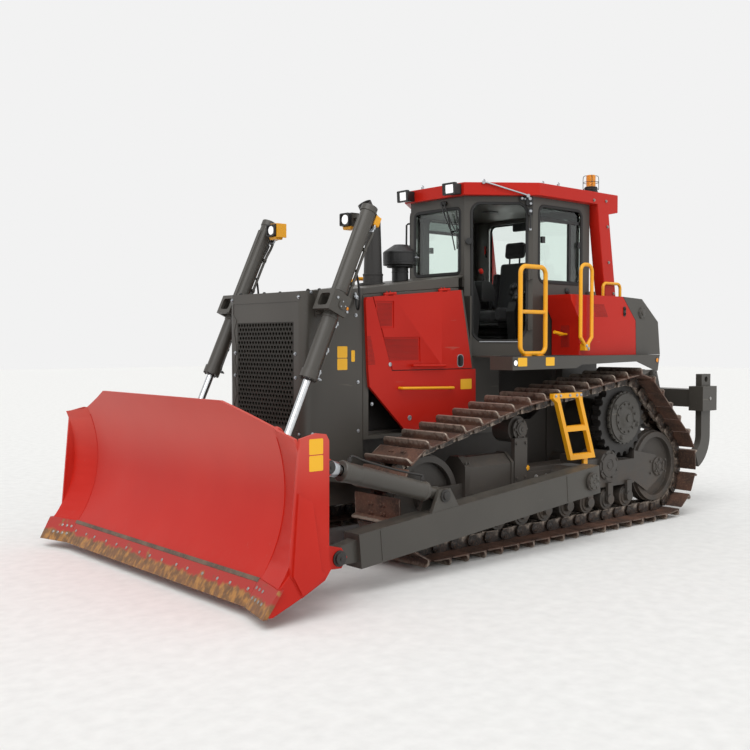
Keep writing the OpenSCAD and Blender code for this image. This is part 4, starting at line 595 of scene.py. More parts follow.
class Stock:
    """The faces of one piece while it is being made."""

    def __init__(self) -> None:
        """Starts with nothing."""
        self.bm = bmesh.new()

    def loft(self, rings: Sequence[Sequence[Point]], closed: bool = False, caps: bool = True) -> "Stock":
        """Skins rings that have the same number of points.

        Args:
            rings: the rings in order.
            closed: whether the last ring joins the first.
            caps: whether the ends are closed.
        """
        made = [[self.bm.verts.new(p) for p in ring] for ring in rings]
        pairs = list(zip(made, made[1:])) + ([(made[-1], made[0])] if closed else [])
        for one, other in pairs:
            n = len(one)
            for i in range(n):
                self.bm.faces.new((one[i], one[(i + 1) % n], other[(i + 1) % n], other[i]))
        if caps and not closed:
            self.bm.faces.new(list(reversed(made[0])))
            self.bm.faces.new(made[-1])
        return self

    def prism(self, outline: Sequence[Point], frame: Matrix, depth: float) -> "Stock":
        """Draws an outline in a frame's X and Y and runs it along its Z."""
        return self.loft([[frame @ Vector((p[0], p[1], z)) for p in outline] for z in (0.0, depth)])

    def block(self, low: Point, high: Point, s: int = 1) -> "Stock":
        """A block between two corners, or its twin on the right where s is -1."""
        a, b = Vector(low), Vector(high)
        if s < 0:
            a.y, b.y = -b.y, -a.y
        return self.prism([(a.x, a.y), (b.x, a.y), (b.x, b.y), (a.x, b.y)], Matrix.Translation((0, 0, a.z)), b.z - a.z)

    def turned(self, profile: Sequence[tuple[float, float]], frame: Matrix, segments: int = 24) -> "Stock":
        """Turns a profile of radius and height round a frame's Z."""
        turns = [2 * math.pi * k / segments for k in range(segments)]
        rings = [(max(radius, TIP), height) for radius, height in profile]
        return self.loft([[frame @ Vector((r * math.cos(a), r * math.sin(a), h)) for a in turns] for r, h in rings])

    def ring(self, profile: Sequence[tuple[float, float]], frame: Matrix, segments: int = 32) -> "Stock":
        """Turns a closed profile of radius and height round a frame's Z, open in its middle."""
        turns = [2 * math.pi * k / segments for k in range(segments)]
        return self.loft([[frame @ Vector((r * math.cos(a), r * math.sin(a), h)) for r, h in profile] for a in turns],
                         closed=True)

    def hoop(self, frame: Matrix, radius: float, wire: float, segments: int) -> "Stock":
        """A round wire of that radius bent round a frame's Z."""
        return self.ring(circle(radius, 0.0, wire, 6), frame, segments)

    def tube(self, points: Sequence[Point], radius: float, segments: int = 10, soft: bool = True) -> "Stock":
        """A round bar or hose along points."""
        line = smooth_path(points) if soft else [Vector(p) for p in points]
        turns = [2 * math.pi * k / segments for k in range(segments)]
        rings = []
        side = None
        for i, p in enumerate(line):
            ahead = (line[min(i + 1, len(line) - 1)] - line[max(i - 1, 0)]).normalized()
            if side is None:
                side = ahead.orthogonal().normalized()
            side = (side - ahead * side.dot(ahead)).normalized()
            up = ahead.cross(side)
            rings.append([p + (side * math.cos(a) + up * math.sin(a)) * radius for a in turns])
        return self.loft(rings)

    def mirrored(self, s: int) -> "Stock":
        """Turns the piece to its twin on the right where s is -1."""
        bmesh.ops.transform(self.bm, matrix=Matrix.Diagonal((1, s, 1, 1)), verts=self.bm.verts)
        return self

    def doubled(self) -> "Stock":
        """Adds the twin on the other side of the plane of symmetry."""
        twin = bmesh.ops.duplicate(self.bm, geom=[*self.bm.verts, *self.bm.edges, *self.bm.faces])["geom"]
        verts = [v for v in twin if isinstance(v, bmesh.types.BMVert)]
        bmesh.ops.transform(self.bm, matrix=Matrix.Diagonal((1, -1, 1, 1)), verts=verts)
        return self

    def obj(self, name: str, ease: float = 0.0, sharp: float = CREASE) -> bpy.types.Object:
        """Makes the object, with its edges eased by that many millimetres."""
        bmesh.ops.recalc_face_normals(self.bm, faces=self.bm.faces)
        obj = mesh_object(name, self.bm, sharp)
        if ease:
            ease_edges(obj, ease, sharp)
        return obj

    def piece(self, name: str, body: str, finish: Finish, ease: float = 0.0) -> bpy.types.Object:
        """Makes the object and lets it ride on its body."""
        return ready(self.obj(name, ease), body, finish)


@dataclass
class Repeat:
    """Sets a template on many places with Geometry Nodes and bakes them into one mesh."""

    name: str
    template: Stock
    finish: Finish
    ease: float = 0.0
    spin: float = 0.0
    seed: int = 11
    slot: str | None = None

    def tree(self) -> bpy.types.NodeTree:
        """Builds the node tree: an instance a point, turned by its own attribute, then realised."""
        tree = bpy.data.node_groups.new("repeat_" + self.name, "GeometryNodeTree")
        face = tree.interface
        face.new_socket("Geometry", in_out="INPUT", socket_type="NodeSocketGeometry")
        for label, kind in (("Template", "NodeSocketObject"), ("Finish", "NodeSocketMaterial"),
                            ("Spin", "NodeSocketFloat"), ("Seed", "NodeSocketInt")):
            face.new_socket(label, in_out="INPUT", socket_type=kind)
        face.new_socket("Geometry", in_out="OUTPUT", socket_type="NodeSocketGeometry")
        net = Net(tree)
        given = net.add("NodeGroupInput").outputs
        part = net.add("GeometryNodeObjectInfo", {"Object": given["Template"]}).outputs["Geometry"]
        turn = net.add("GeometryNodeInputNamedAttribute", {"Name": "turn"},
                       data_type="FLOAT_VECTOR").outputs["Attribute"]
        facing = net.add("FunctionNodeEulerToRotation", {0: turn}).outputs[0]
        chance = net.add("FunctionNodeRandomValue", {"Min": 0.0, "Max": given["Spin"], "Seed": given["Seed"]},
                         data_type="FLOAT")
        own = net.add("ShaderNodeCombineXYZ", {"Z": [s for s in chance.outputs if s.enabled][0]}).outputs[0]
        swing = net.add("FunctionNodeEulerToRotation", {0: own}).outputs[0]
        spun = net.add("FunctionNodeRotateRotation", {0: facing, 1: swing}, rotation_space="LOCAL").outputs[0]
        points = net.add("GeometryNodeInstanceOnPoints",
                         {"Points": given["Geometry"], "Instance": part, "Rotation": spun}).outputs[0]
        real = net.add("GeometryNodeRealizeInstances", {0: points}).outputs[0]
        done = net.add("GeometryNodeSetMaterial", {"Geometry": real, "Material": given["Finish"]}).outputs[0]
        net.add("NodeGroupOutput", {0: done})
        return tree

    def build(self, body: str, places: Iterable[Matrix], replaces: Sequence[str] = ()) -> bpy.types.Object:
        """Bakes the copies that ride on one body.

        Args:
            body: the body they move with.
            places: a frame for each copy.
            replaces: the CAD nodes that the result stands for.
        """
        places = list(places)
        part = self.template.obj("template_" + self.name, self.ease)
        mesh = bpy.data.meshes.new(self.name)
        mesh.from_pydata([m.translation for m in places], [], [])
        turn = mesh.attributes.new("turn", "FLOAT_VECTOR", "POINT")
        for item, m in zip(turn.data, places):
            item.vector = m.to_euler()
        obj = bpy.data.objects.new(self.name + "_" + body, mesh)
        bpy.context.scene.collection.objects.link(obj)
        modifier = obj.modifiers.new("repeat", "NODES")
        modifier.node_group = self.tree()
        values = {"Template": part, "Finish": self.finish.build(), "Spin": math.radians(self.spin), "Seed": self.seed}
        for item in modifier.node_group.interface.items_tree:
            if item.in_out == "INPUT" and item.name in values:
                modifier[item.identifier] = values[item.name]
        baked(obj)
        bpy.data.objects.remove(part)
        ready(obj, body)
        if replaces:
            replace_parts(obj, *replaces)
        return obj


def hex_bolt(radius: float, height: float, washer: float = 0.0) -> Stock:
    """A hexagon head with its chamfered top, on a washer where it has one."""
    stock = Stock()
    if washer:
        stock.turned([(radius * 1.45, 0.0), (radius * 1.45, washer), (radius, washer)], Matrix(), 16)
    levels = ((radius, washer), (radius, washer + height * 0.8), (radius * 0.84, washer + height))
    return stock.loft([[(x, y, z) for x, y in circle(0.0, 0.0, r, 6)] for r, z in levels])


# ---------- undercarriage ----------
@dataclass(frozen=True)
class Loop:
    """The pin line of a track round its four wheels, each with X, Z and its radius to the pins."""

    wheels: tuple = ((-2.196, 0.551, 0.430), (1.234, 0.551, 0.430), (0.085, 1.085, 0.183),
                     (-1.626, 1.100, 11.5 * 0.216 / (2 * math.pi)))
    pitch: float = 0.216
    rail_in: float = 0.058
    rail_out: float = 0.046

    def run_angle(self, i: int) -> float:
        """Direction of the straight run that leaves a wheel."""
        a, b = self.wheels[i % 4], self.wheels[(i + 1) % 4]
        d = (b[0] - a[0], b[1] - a[1])
        return math.atan2(d[1], d[0]) + math.asin((a[2] - b[2]) / math.hypot(*d))

    def off(self, i: int, ang: float) -> tuple[float, float]:
        """Point where the loop leaves or meets a wheel at that angle."""
        x, z, r = self.wheels[i % 4]
        return x + r * math.sin(ang), z - r * math.cos(ang)

    def pieces(self) -> list[tuple[float, float, int, float]]:
        """The arcs and the runs in order: length of the arc, of the run, wheel, first angle."""
        out = []
        for i in range(4):
            first = self.run_angle(i - 1)
            sweep = (self.run_angle(i) - first) % (2 * math.pi)
            p, q = self.off(i, self.run_angle(i)), self.off(i + 1, self.run_angle(i))
            out.append((self.wheels[i][2] * sweep, math.dist(p, q), i, first))
        return out

    def at(self, s: float) -> tuple[float, float, float]:
        """Place on the loop at a distance: X, Z and the direction of travel."""
        for arc, run, i, first in self.pieces():
            if s < arc:
                ang = first + s / self.wheels[i][2]
                return (*self.off(i, ang), ang)
            s -= arc
            if s < run:
                ang = self.run_angle(i)
                x, z = self.off(i, ang)
                return x + s * math.cos(ang), z + s * math.sin(ang), ang
            s -= run
        return self.at(0.0)

    @property
    def length(self) -> float:
        """Length of the whole loop."""
        return sum(arc + run for arc, run, _, _ in self.pieces())

    @property
    def count(self) -> int:
        """Number of links."""
        return round(self.length / self.pitch)

    def frames(self, y: float, phase: float) -> list[Matrix]:
        """A frame a link: X along the travel, Z outward, at that share of a link."""
        out = []
        for k in range(self.count):
            x, z, ang = self.at((k + phase) * self.length / self.count)
            along = Vector((math.cos(ang), 0.0, math.sin(ang)))
            outward = Vector((math.sin(ang), 0.0, -math.cos(ang)))
            m = Matrix((along, outward.cross(along), outward)).transposed().to_4x4()
            m.translation = (x, y, z)
            out.append(m)
        return out


@dataclass
class Undercarriage:
    """Tracks with their shoes, links and bolts, final drives, idlers and roller frames."""

    loop: Loop = field(default_factory=Loop)
    gauge: float = 1.98
    shoe_t: float = 0.013
    grouser: float = 0.062
    drive: tuple[float, float] = (-1.626, 1.100)
    drive_out: float = 0.106
    idlers: tuple = ((1.234, 0.551), (-2.196, 0.551))
    first_roller: float = 0.674
    roller_gap: float = 0.330
    roller_z: float = 0.291
    carrier: tuple[float, float] = (0.085, 1.085)
    carrier_y: float = 1.148
    pivot: tuple[float, float] = (-1.276, 0.640)
    frame_y: float = 1.126
    plate_y: float = 1.138
    grease: tuple[float, float] = (-0.013, 0.720)
    ledge_z: float = 0.622
    trunnion: Vector = field(default_factory=lambda: Vector((-0.476, 1.545, 0.590)))
    blade_pin: Vector = field(default_factory=lambda: Vector((2.547, 0.0, 0.309)))

    def shoe(self) -> Stock:
        """One rolled shoe: a plate with its front lip turned down and a single grouser whose ends are rounded."""
        half = self.loop.length / self.loop.count / 2 - 0.004
        low, top = self.loop.rail_out, self.loop.rail_out + self.shoe_t
        ends = ((0.28, 0.034), (0.276, 0.017), (0.266, 0.006), (0.25, 0.0))
        rings = []
        for y, drop in [*((-y, drop) for y, drop in ends), *reversed(ends)]:
            tip = top + self.grouser - drop
            rings.append([(x, y, z) for x, z in (
                (-half, low), (-half, tip - 0.005), (-half + 0.004, tip), (-half + 0.013, tip),
                (-half + 0.017, tip - 0.006), (-half + 0.024, top + 0.012), (-half + 0.034, top), (half - 0.03, top),
                (half - 0.008, top - 0.004), (half, low + 0.003), (half - 0.006, low))])
        stock = Stock().loft(rings)
        wear = stock.bm.verts.layers.float.new("wear")
        crest = top + self.grouser - 0.036
        for v in stock.bm.verts:
            lip = abs(v.co.y) > 0.275 and v.co.z > low + 0.006
            v[wear] = 1.0 if v.co.z > crest + 0.018 else 0.75 if v.co.z > crest or lip else 0.1
        return stock

    def link(self) -> Stock:
        """The two forged links under a shoe: each has its rear boss inside and its front boss outside."""
        half = self.loop.length / self.loop.count / 2
        rail, top = -self.loop.rail_in, self.loop.rail_out
        rear = [(-half - 0.042, -0.016), (-half - 0.032, -0.046), (-half - 0.012, rail), (0.022, rail), (0.022, 0.02),
                (-0.02, top), (-half + 0.03, top), (-half - 0.012, 0.04), (-half - 0.042, 0.016)]
        stock = Stock()
        for side in (-1, 1):
            for outline, near in ((rear, 0.0545), ([(-x, z) for x, z in rear], 0.0765)):
                y0 = side * near if side > 0 else side * (near + 0.020)
                stock.prism(outline, Matrix(((1, 0, 0, 0), (0, 0, 1, y0), (0, 1, 0, 0), (0, 0, 0, 1))), 0.020)
            for x in (-half, half):
                near = 0.0525 if x < 0 else 0.0755
                frame = aim((x, side * near, 0.0), (0, side, 0))
                stock.turned([(0.033, 0.0), (0.033, 0.022), (0.029, 0.0245)], frame, 16)
        wear = stock.bm.verts.layers.float.new("wear")
        for v in stock.bm.verts:
            v[wear] = 0.9 if v.co.z < rail + 0.004 else 0.05
        return stock

    def tracks(self) -> None:
        """Both tracks: shoes, links, pins and shoe bolts."""
        frames = {side: self.loop.frames(s * self.gauge / 2, 0.5) for s, side in SIDES}
        for side in frames:
            name, node = "track_shoes_" + side, "track_" + side
            Repeat(name, self.shoe(), TRACK, slot="track_steel").build("chassis", frames[side], [node])
            Repeat("track_links_" + side, self.link(), LINK, slot="track_steel").build("chassis", frames[side])
        turn = Matrix.Rotation(math.radians(11), 4, "Z")
        top = self.loop.rail_out + self.shoe_t
        bolts = [Matrix.Translation((x, y, top)) @ turn for x in (-0.045, 0.03) for y in (-0.093, -0.057, 0.057, 0.093)]
        heads = [m @ b for m in (*frames["right"], *frames["left"]) for b in bolts]
        Repeat("shoe_bolts", hex_bolt(0.015, 0.012), TRACK, slot="track_steel").build("chassis", heads)
        pin = Stock().turned([(0.021, -0.098), (0.024, -0.096), (0.024, 0.096), (0.021, 0.098)], along_y(0, 0, 0), 14)
        pins = [m for s in (-1, 1) for m in self.loop.frames(s * self.gauge / 2, 0.0)]
        Repeat("track_pins", pin, LINK, slot="track_steel").build("chassis", pins)

    def drives(self) -> None:
        """Bolts and plugs on the covers of the final drives."""
        x, z = self.drive
        face = self.gauge / 2 + self.drive_out
        bolts = [along_y(bx, face + 0.010, bz, s) for s in (-1, 1) for bx, bz in circle(x, z, 0.148, 12, 15)]
        head = hex_bolt(0.011, 0.010, 0.002)
        Repeat("drive_cover_bolts", head, GREY, spin=60, slot="grey_paint").build("chassis", bolts)
        plugs = Stock()
        for s in (-1, 1):
            for a in (35, 200, 290):
                [(px, pz)] = circle(x, z, 0.212, 1, a)
                plugs.turned([(0.030, -0.001), (0.030, 0.005), (0.021, 0.008), (0.021, 0.016), (0.017, 0.018)],
                             along_y(px, face, pz, s), 20)
        plugs.piece("drive_cover_plugs", "chassis", GREY, 0.8)

    def hubs(self) -> None:
        """Rings, plugs and bolts on the idlers, rollers, pivots and recoil boxes."""
        self.rings()
        self.plugs()
        bolts = []
        for x, z in self.idlers:
            bolts += [along_y(bx, self.frame_y + 0.001, bz) for bx, bz in circle(x, z, 0.079, 6, 30)]
            bolts += [along_y(x + dx, self.frame_y - 0.018, z + dz) for dx in (-0.135, 0.135) for dz in (-0.062, 0.062)]
        bolts += [along_y(x, self.frame_y + 0.005, z) for x, z in circle(*self.carrier, 0.078, 6)]
        bolts += [along_y(x, self.plate_y, z) for x, z in circle(*self.pivot, 0.134, 8, 22.5)]
        bolts += [along_y(x, self.frame_y + 0.004, z) for x in (0.776, 0.816) for z in (0.585, 0.706, 0.828)]
        bolts += [along_y(x, self.plate_y, z) for x in (0.022, 0.148) for z in (0.640, 0.955)]
        both = [m for at in bolts for m in (at, along_y(*at.translation, -1))]
        head = hex_bolt(0.0125, 0.011, 0.002)
        Repeat("hub_bolts", head, GREY_LOW, spin=60, slot="grey_paint").build("chassis", both)

    def rings(self) -> None:
        """Rings and caps of the idlers', rollers', carriers' and pivots' hubs."""
        rings = Stock()
        for x, z in self.idlers:
            hub = along_y(x, self.frame_y, z)
            rings.turned([(0.097, -0.018), (0.102, -0.016), (0.102, -0.006), (0.092, 0.002), (0.084, 0.002),
                          (0.080, -0.001)], hub, 40)
            rings.turned([(0.060, -0.001), (0.060, 0.008), (0.052, 0.011), (0.052, 0.004), (0.030, 0.004),
                          (0.030, 0.010), (0.022, 0.013), (0.0, 0.013)], hub, 32)
        for i in range(8):
            roller = along_y(self.first_roller - self.roller_gap * i, self.frame_y, self.roller_z)
            rings.turned([(0.050, -0.010), (0.050, 0.003), (0.043, 0.007), (0.030, 0.007), (0.026, 0.002),
                          (0.014, 0.002), (0.012, 0.008), (0.0, 0.008)], roller, 24)
        carrier = along_y(self.carrier[0], self.carrier_y, self.carrier[1])
        rings.turned([(0.093, -0.030), (0.098, -0.028), (0.098, -0.020), (0.088, -0.017)], carrier, 36)
        rings.turned([(0.050, -0.001), (0.050, 0.006), (0.020, 0.008), (0.018, 0.014), (0.0, 0.014)], carrier, 28)
        pivot = along_y(self.pivot[0], self.plate_y, self.pivot[1])
        rings.turned([(0.118, -0.001), (0.118, 0.008), (0.108, 0.011), (0.064, 0.011), (0.060, 0.004), (0.034, 0.004),
                      (0.030, 0.012), (0.0, 0.013)], pivot, 40)
        rings.doubled().piece("hub_rings", "chassis", GREY_LOW, 0.8)

    def plugs(self) -> None:
        """Grease points of the roller frames and the dark plugs along their ledges."""
        brass, dark = Stock(), Stock()
        for x, z in circle(*self.grease, 0.017, 5):
            brass.turned([(0.007, 0.0), (0.007, 0.006)], along_y(x, self.frame_y + 0.008, z), 8)
        cover = along_y(self.grease[0], self.frame_y + 0.005, self.grease[1])
        brass.turned([(0.026, 0.0), (0.026, 0.004), (0.010, 0.012), (0.0, 0.012)], cover, 10)
        for x, r in ((-0.150, 0.017), (-0.300, 0.014), (-0.560, 0.020), (-0.735, 0.014), (-0.900, 0.017)):
            dark.turned([(r * 1.4, -0.002), (r * 1.4, 0.004), (r, 0.006), (r, 0.022), (r * 0.7, 0.026), (0.0, 0.026)],
                        along_y(x, self.frame_y - 0.008, self.ledge_z), 14)
        brass.doubled().piece("track_plugs", "chassis", YELLOW, 0.6)
        dark.doubled().piece("ledge_plugs", "chassis", WORN)

    def arms(self) -> None:
        """Caps on the push arms' trunnions and the weld beads across the arms."""
        cap, beads = Stock(), Stock()
        hub = aim(self.trunnion, (0, 1, 0))
        cap.turned([(0.070, -0.001), (0.070, 0.007), (0.058, 0.010), (0.040, 0.010), (0.036, 0.004), (0.018, 0.004),
                    (0.014, 0.012), (0.0, 0.012)], hub, 36)
        for x, y in circle(0.0, 0.0, 0.064, 6):
            cap.turned([(0.0105, 0.0), (0.0105, 0.010)], hub @ Matrix.Translation((x, y, 0.006)), 6)
        foot = self.trunnion * Vector((1, 0, 1))
        run = (self.blade_pin - foot).normalized()
        face, up = Vector((0, 1.5155, 0)), Vector((-run.z, 0.0, run.x)) * 0.118
        for share in (0.36, 2.62):
            at = foot + run * share + face
            beads.tube([at - up, at + up], 0.005, 8, soft=False)
        cap.doubled().piece("trunnion_caps", "push_arms", GREY, 0.8)
        beads.doubled().piece("arm_weld_beads", "push_arms", GREY)

    def build(self) -> None:
        """Builds the whole undercarriage."""
        self.tracks()
        self.drives()
        self.hubs()
        self.arms()


# ---------- small fittings ----------
def rounded(low: Point, high: Point, r: float, steps: int = 4) -> list[tuple[float, float]]:
    """Outline of a rectangle with round corners."""
    out = []
    for cx, cy, first in ((high[0] - r, high[1] - r, 0), (low[0] + r, high[1] - r, 90), (low[0] + r, low[1] + r, 180),
                          (high[0] - r, low[1] + r, 270)):
        for k in range(steps + 1):
            a = math.radians(first + 90 * k / steps)
            out.append((cx + r * math.cos(a), cy + r * math.sin(a)))
    return out


def sign(stock: Stock, frame: Matrix, wide: float, high: float) -> None:
    """Adds a blank self-adhesive plate that lies on a surface."""
    stock.prism(rounded((-wide / 2, -high / 2), (wide / 2, high / 2), 0.008), frame, 0.0012)


def fitting(stock: Stock, place: Point, axis: Point, r: float, length: float) -> None:
    """Adds a hose fitting: a hexagon nut between two collars."""
    frame = aim(place, axis)
    stock.turned([(r * 0.8, 0.0), (r * 0.8, length * 0.25), (r * 0.75, length)], frame, 12)
    stock.turned([(r * 1.25, length * 0.25), (r * 1.25, length * 0.6)], frame, 6)


# ---------- blade ----------
@dataclass
class BladeWork:
    """Blade: the bolts, seams and worn lip of its edge, its pins, the tilt cylinders' ends and blank signs."""

    face_x: float = 3.2019
    sag: float = 0.200
    fold_y: float = 1.470
    half_w: float = 1.815
    wing: float = math.radians(15)
    edge_top: float = 0.259
    edge_fall: Vector = field(default_factory=lambda: Vector((0.116, 0.0, -0.183)))
    pin: tuple[float, float] = (2.5469, 0.309)
    arm_y: float = 1.515
    arc: float = 1.0075
    arc_z: float = 0.8615
    tilt_foot: Vector = field(default_factory=lambda: Vector((1.4499, 1.425, 0.655)))
    tilt_head: Vector = field(default_factory=lambda: Vector((2.6399, 1.425, 0.985)))

    def winged(self, frame: Matrix) -> Matrix:
        """Turns a frame on the straight section with its wing, where it lies past a fold."""
        y = frame.translation.y
        if abs(y) <= self.fold_y:
            return frame
        pivot = Matrix.Translation((self.face_x - self.sag / 2, math.copysign(self.fold_y, y), 0.0))
        return pivot @ Matrix.Rotation(-math.copysign(self.wing, y), 4, "Z") @ pivot.inverted() @ frame

    def on_edge(self, y: float, down: float, lift: float = 0.0) -> Matrix:
        """Frame on the cutting edge's face, that share down from its top, with Z outward."""
        normal = Vector((-self.edge_fall.z, 0.0, self.edge_fall.x)).normalized()
        place = Vector((self.face_x + 0.010, y, self.edge_top)) + self.edge_fall * down + normal * lift
        return self.winged(aim(place, normal, (0, 1, 0)))

    def edge(self) -> None:
        """Plow bolts in the edge and the end bits, the seams between them and the lip over the edge."""
        main = [self.on_edge(-1.38 + 2.76 * k / 14 + 0.018 * math.sin(k * 2.3), 0.42) for k in range(15)]
        ends = [self.on_edge(s * (1.53 + 0.062 * k + 0.02 * row), (0.28, 0.62)[row])
                for s in (-1, 1) for row in (0, 1) for k in range(3 + row)]
        head = Stock().turned([(0.0135, -0.002), (0.0135, 0.002), (0.009, 0.0045), (0.0, 0.005)], Matrix(), 14)
        Repeat("plow_bolts", head, WORN, slot="worn_steel").build("blade", [*main, *ends])
        rings, stations = [], 90
        reach = self.fold_y - 0.004
        for k in range(stations + 1):
            rough = 0.0016 * math.sin(k * 1.7) + 0.001 * math.sin(k * 4.1)
            section = ((-0.02, -0.004), (-0.02, 0.004), (0.05 + rough, 0.006 + rough), (0.125 + rough * 2, 0.004),
                       (0.135, -0.002))
            y = -reach + 2 * reach * k / stations
            rings.append([self.on_edge(y, down, lift).translation for down, lift in section])
        Stock().loft(rings).piece("edge_wear_lip", "blade", CRUST)
        # dark strips in the seams between edge and end bits are painted shade in the gaps
        seams = Stock()
        section = ((-0.0022, -0.004), (-0.0022, 0.0008), (0.0022, 0.0008), (0.0022, -0.004))
        for s in (-1, 1):
            seams.loft([[self.on_edge(s * (self.fold_y + e), down, h).translation for e, h in section]
                        for down in (0.0, 0.5, 0.995)])
        seams.piece("end_bit_seams", "blade", SHADE_AND_SOOT)

    def board(self) -> None:
        """Caps on the arms' and the tilt cylinders' pins, and the weld beads down the folds."""
        caps, welds = Stock(), Stock()
        for s in (-1, 1):
            for x, z, r in ((*self.pin, 0.047), (self.tilt_head.x, self.tilt_head.z, 0.040)):
                caps.turned([(r * 1.28, -0.002), (r * 1.28, 0.010), (r, 0.012), (r, 0.026), (r * 0.9, 0.030),
                             (r * 0.3, 0.030), (r * 0.28, 0.036), (r * 0.2, 0.036)], along_y(x, self.arm_y, z, s), 28)
        caps.piece("blade_pin_caps", "blade", CAST, 1.0)
        middle, r = self.face_x - self.sag + self.arc, self.arc - 0.0003
        for s in (-1, 1):
            turns = [math.radians(-36.4 + 72.8 * k / 24) for k in range(25)]
            line = [Vector((middle - r * math.cos(a), s * (self.fold_y + 0.001), self.arc_z + r * math.sin(a)))
                    for a in turns]
            welds.tube([place for place in line if place.z < 1.27], 0.0045, 6, soft=False)
        welds.piece("blade_fold_welds", "blade", RED)

    def signs(self) -> None:
        """Two blank yellow plates on each end plate."""
        stock = Stock()
        for s in (-1, 1):
            for z in (1.183, 1.070):
                sign(stock, along_y(self.face_x - 0.212, self.half_w, z, s), 0.118, 0.106)
        stock.piece("blank_signs_on_blade", "blade", SIGN)

    def corners(self) -> None:
        """Gusset plates that carry the end plates down to the corner bits."""
        plate = Stock().prism([(3.209, 0.340), (3.286, 0.262), (3.384, 0.086), (3.352, 0.080), (3.111, 0.172)],
                              aim((0, 1.812, 0), (0, -1, 0), (1, 0, 0)), 0.024)
        plate.doubled().piece("blade_corner_plates", "blade", RED, 2.0)

    def tilt(self) -> None:
        """Sleeves and glands at the tilt cylinders' heads, the forks on their rods and their foot pins."""
        along = self.tilt_head - self.tilt_foot
        length = along.length
        for s, side in SIDES:
            flip = Vector((1, s, 1))
            base = aim(self.tilt_foot * flip, along * flip, (0, 0, 1))
            barrel = Stock().turned([(0.0745, 0.880), (0.0765, 0.884), (0.0765, 1.010), (0.081, 1.014), (0.081, 1.046),
                                     (0.074, 1.052), (0.043, 1.052), (0.043, 0.90)], base, 36)
            barrel.turned([(0.0765, 0.150), (0.080, 0.156), (0.080, 0.176), (0.0765, 0.182)], base, 36)
            barrel.piece("tilt_sleeve_" + side, "tilt_barrel_" + side, GREY, 0.8)
            port = Stock()
            for at in (0.205, 0.985):
                fitting(port, base @ Vector((0.074, 0.0, at)), base.to_3x3() @ Vector((1, 0, 0)), 0.014, 0.045)
            route = ((0.118, 0.0, 0.985), (0.128, 0.0, 0.95), (0.118, 0.012, 0.84), (0.112, 0.02, 0.6),
                     (0.112, 0.02, 0.4), (0.118, 0.01, 0.26), (0.12, 0.0, 0.205))
            port.tube([base @ Vector(p) for p in route], 0.009)
            port.piece("tilt_pipes_" + side, "tilt_barrel_" + side, CAST)
            fork = Stock().turned([(0.056, length - 0.138), (0.060, length - 0.132), (0.060, length - 0.080),
                                   (0.046, length - 0.052)], base, 24)
            fork.piece("tilt_rod_fork_" + side, "tilt_rod_" + side, STEEL, 2.0)
            pin, foot = Stock(), self.tilt_foot
            for e in (-1, 1):
                pin.turned([(0.052, 0.0), (0.052, 0.008), (0.034, 0.010), (0.034, 0.022), (0.027, 0.026)],
                           aim((foot.x, s * foot.y + e * 0.0895, foot.z), (0, e, 0)), 24)
            pin.piece("tilt_foot_pins_" + side, "push_arms", CAST, 0.8)

    def build(self) -> None:
        """Builds all of the blade's fittings."""
        self.edge()
        self.board()
        self.signs()
        self.tilt()
        self.corners()


# ---------- nose, hood and engine doors ----------
def inside(p: Point, outline: Sequence[Point]) -> bool:
    """Whether a flat point lies within an outline."""
    odd = False
    for a, b in zip(outline, [*outline[1:], outline[0]]):
        if (a[1] > p[1]) != (b[1] > p[1]) and p[0] < a[0] + (p[1] - a[1]) * (b[0] - a[0]) / (b[1] - a[1]):
            odd = not odd
    return odd


def perforations(outline: Sequence[Point], margin: float) -> list[tuple[float, float]]:
    """Staggered places inside an outline, that far from its edges."""
    low, high = [min(p[i] for p in outline) for i in (0, 1)], [max(p[i] for p in outline) for i in (0, 1)]
    rise = HOLE_PITCH * ROW_SHARE
    out = []
    for j in range(int((high[1] - low[1]) / rise) + 1):
        for i in range(int((high[0] - low[0]) / HOLE_PITCH) + 2):
            x, z = low[0] + (i + 0.5 * (j % 2)) * HOLE_PITCH, low[1] + j * HOLE_PITCH * ROW_SHARE
            if all(inside(p, outline) for p in ((x + margin, z), (x - margin, z), (x, z + margin), (x, z - margin))):
                out.append((x, z))
    return out


def punched(name: str, body: str, places: Sequence[Matrix]) -> None:
    """Small dark discs at those places on a body's skin, painted shade for the shadow seen through each hole."""
    hole = Stock().turned([(0.0036, -0.0006), (0.0036, 0.0004), (0.0, 0.0004)], Matrix(), 8)
    Repeat(name, hole, SHADE_AND_SOOT).build(body, places)


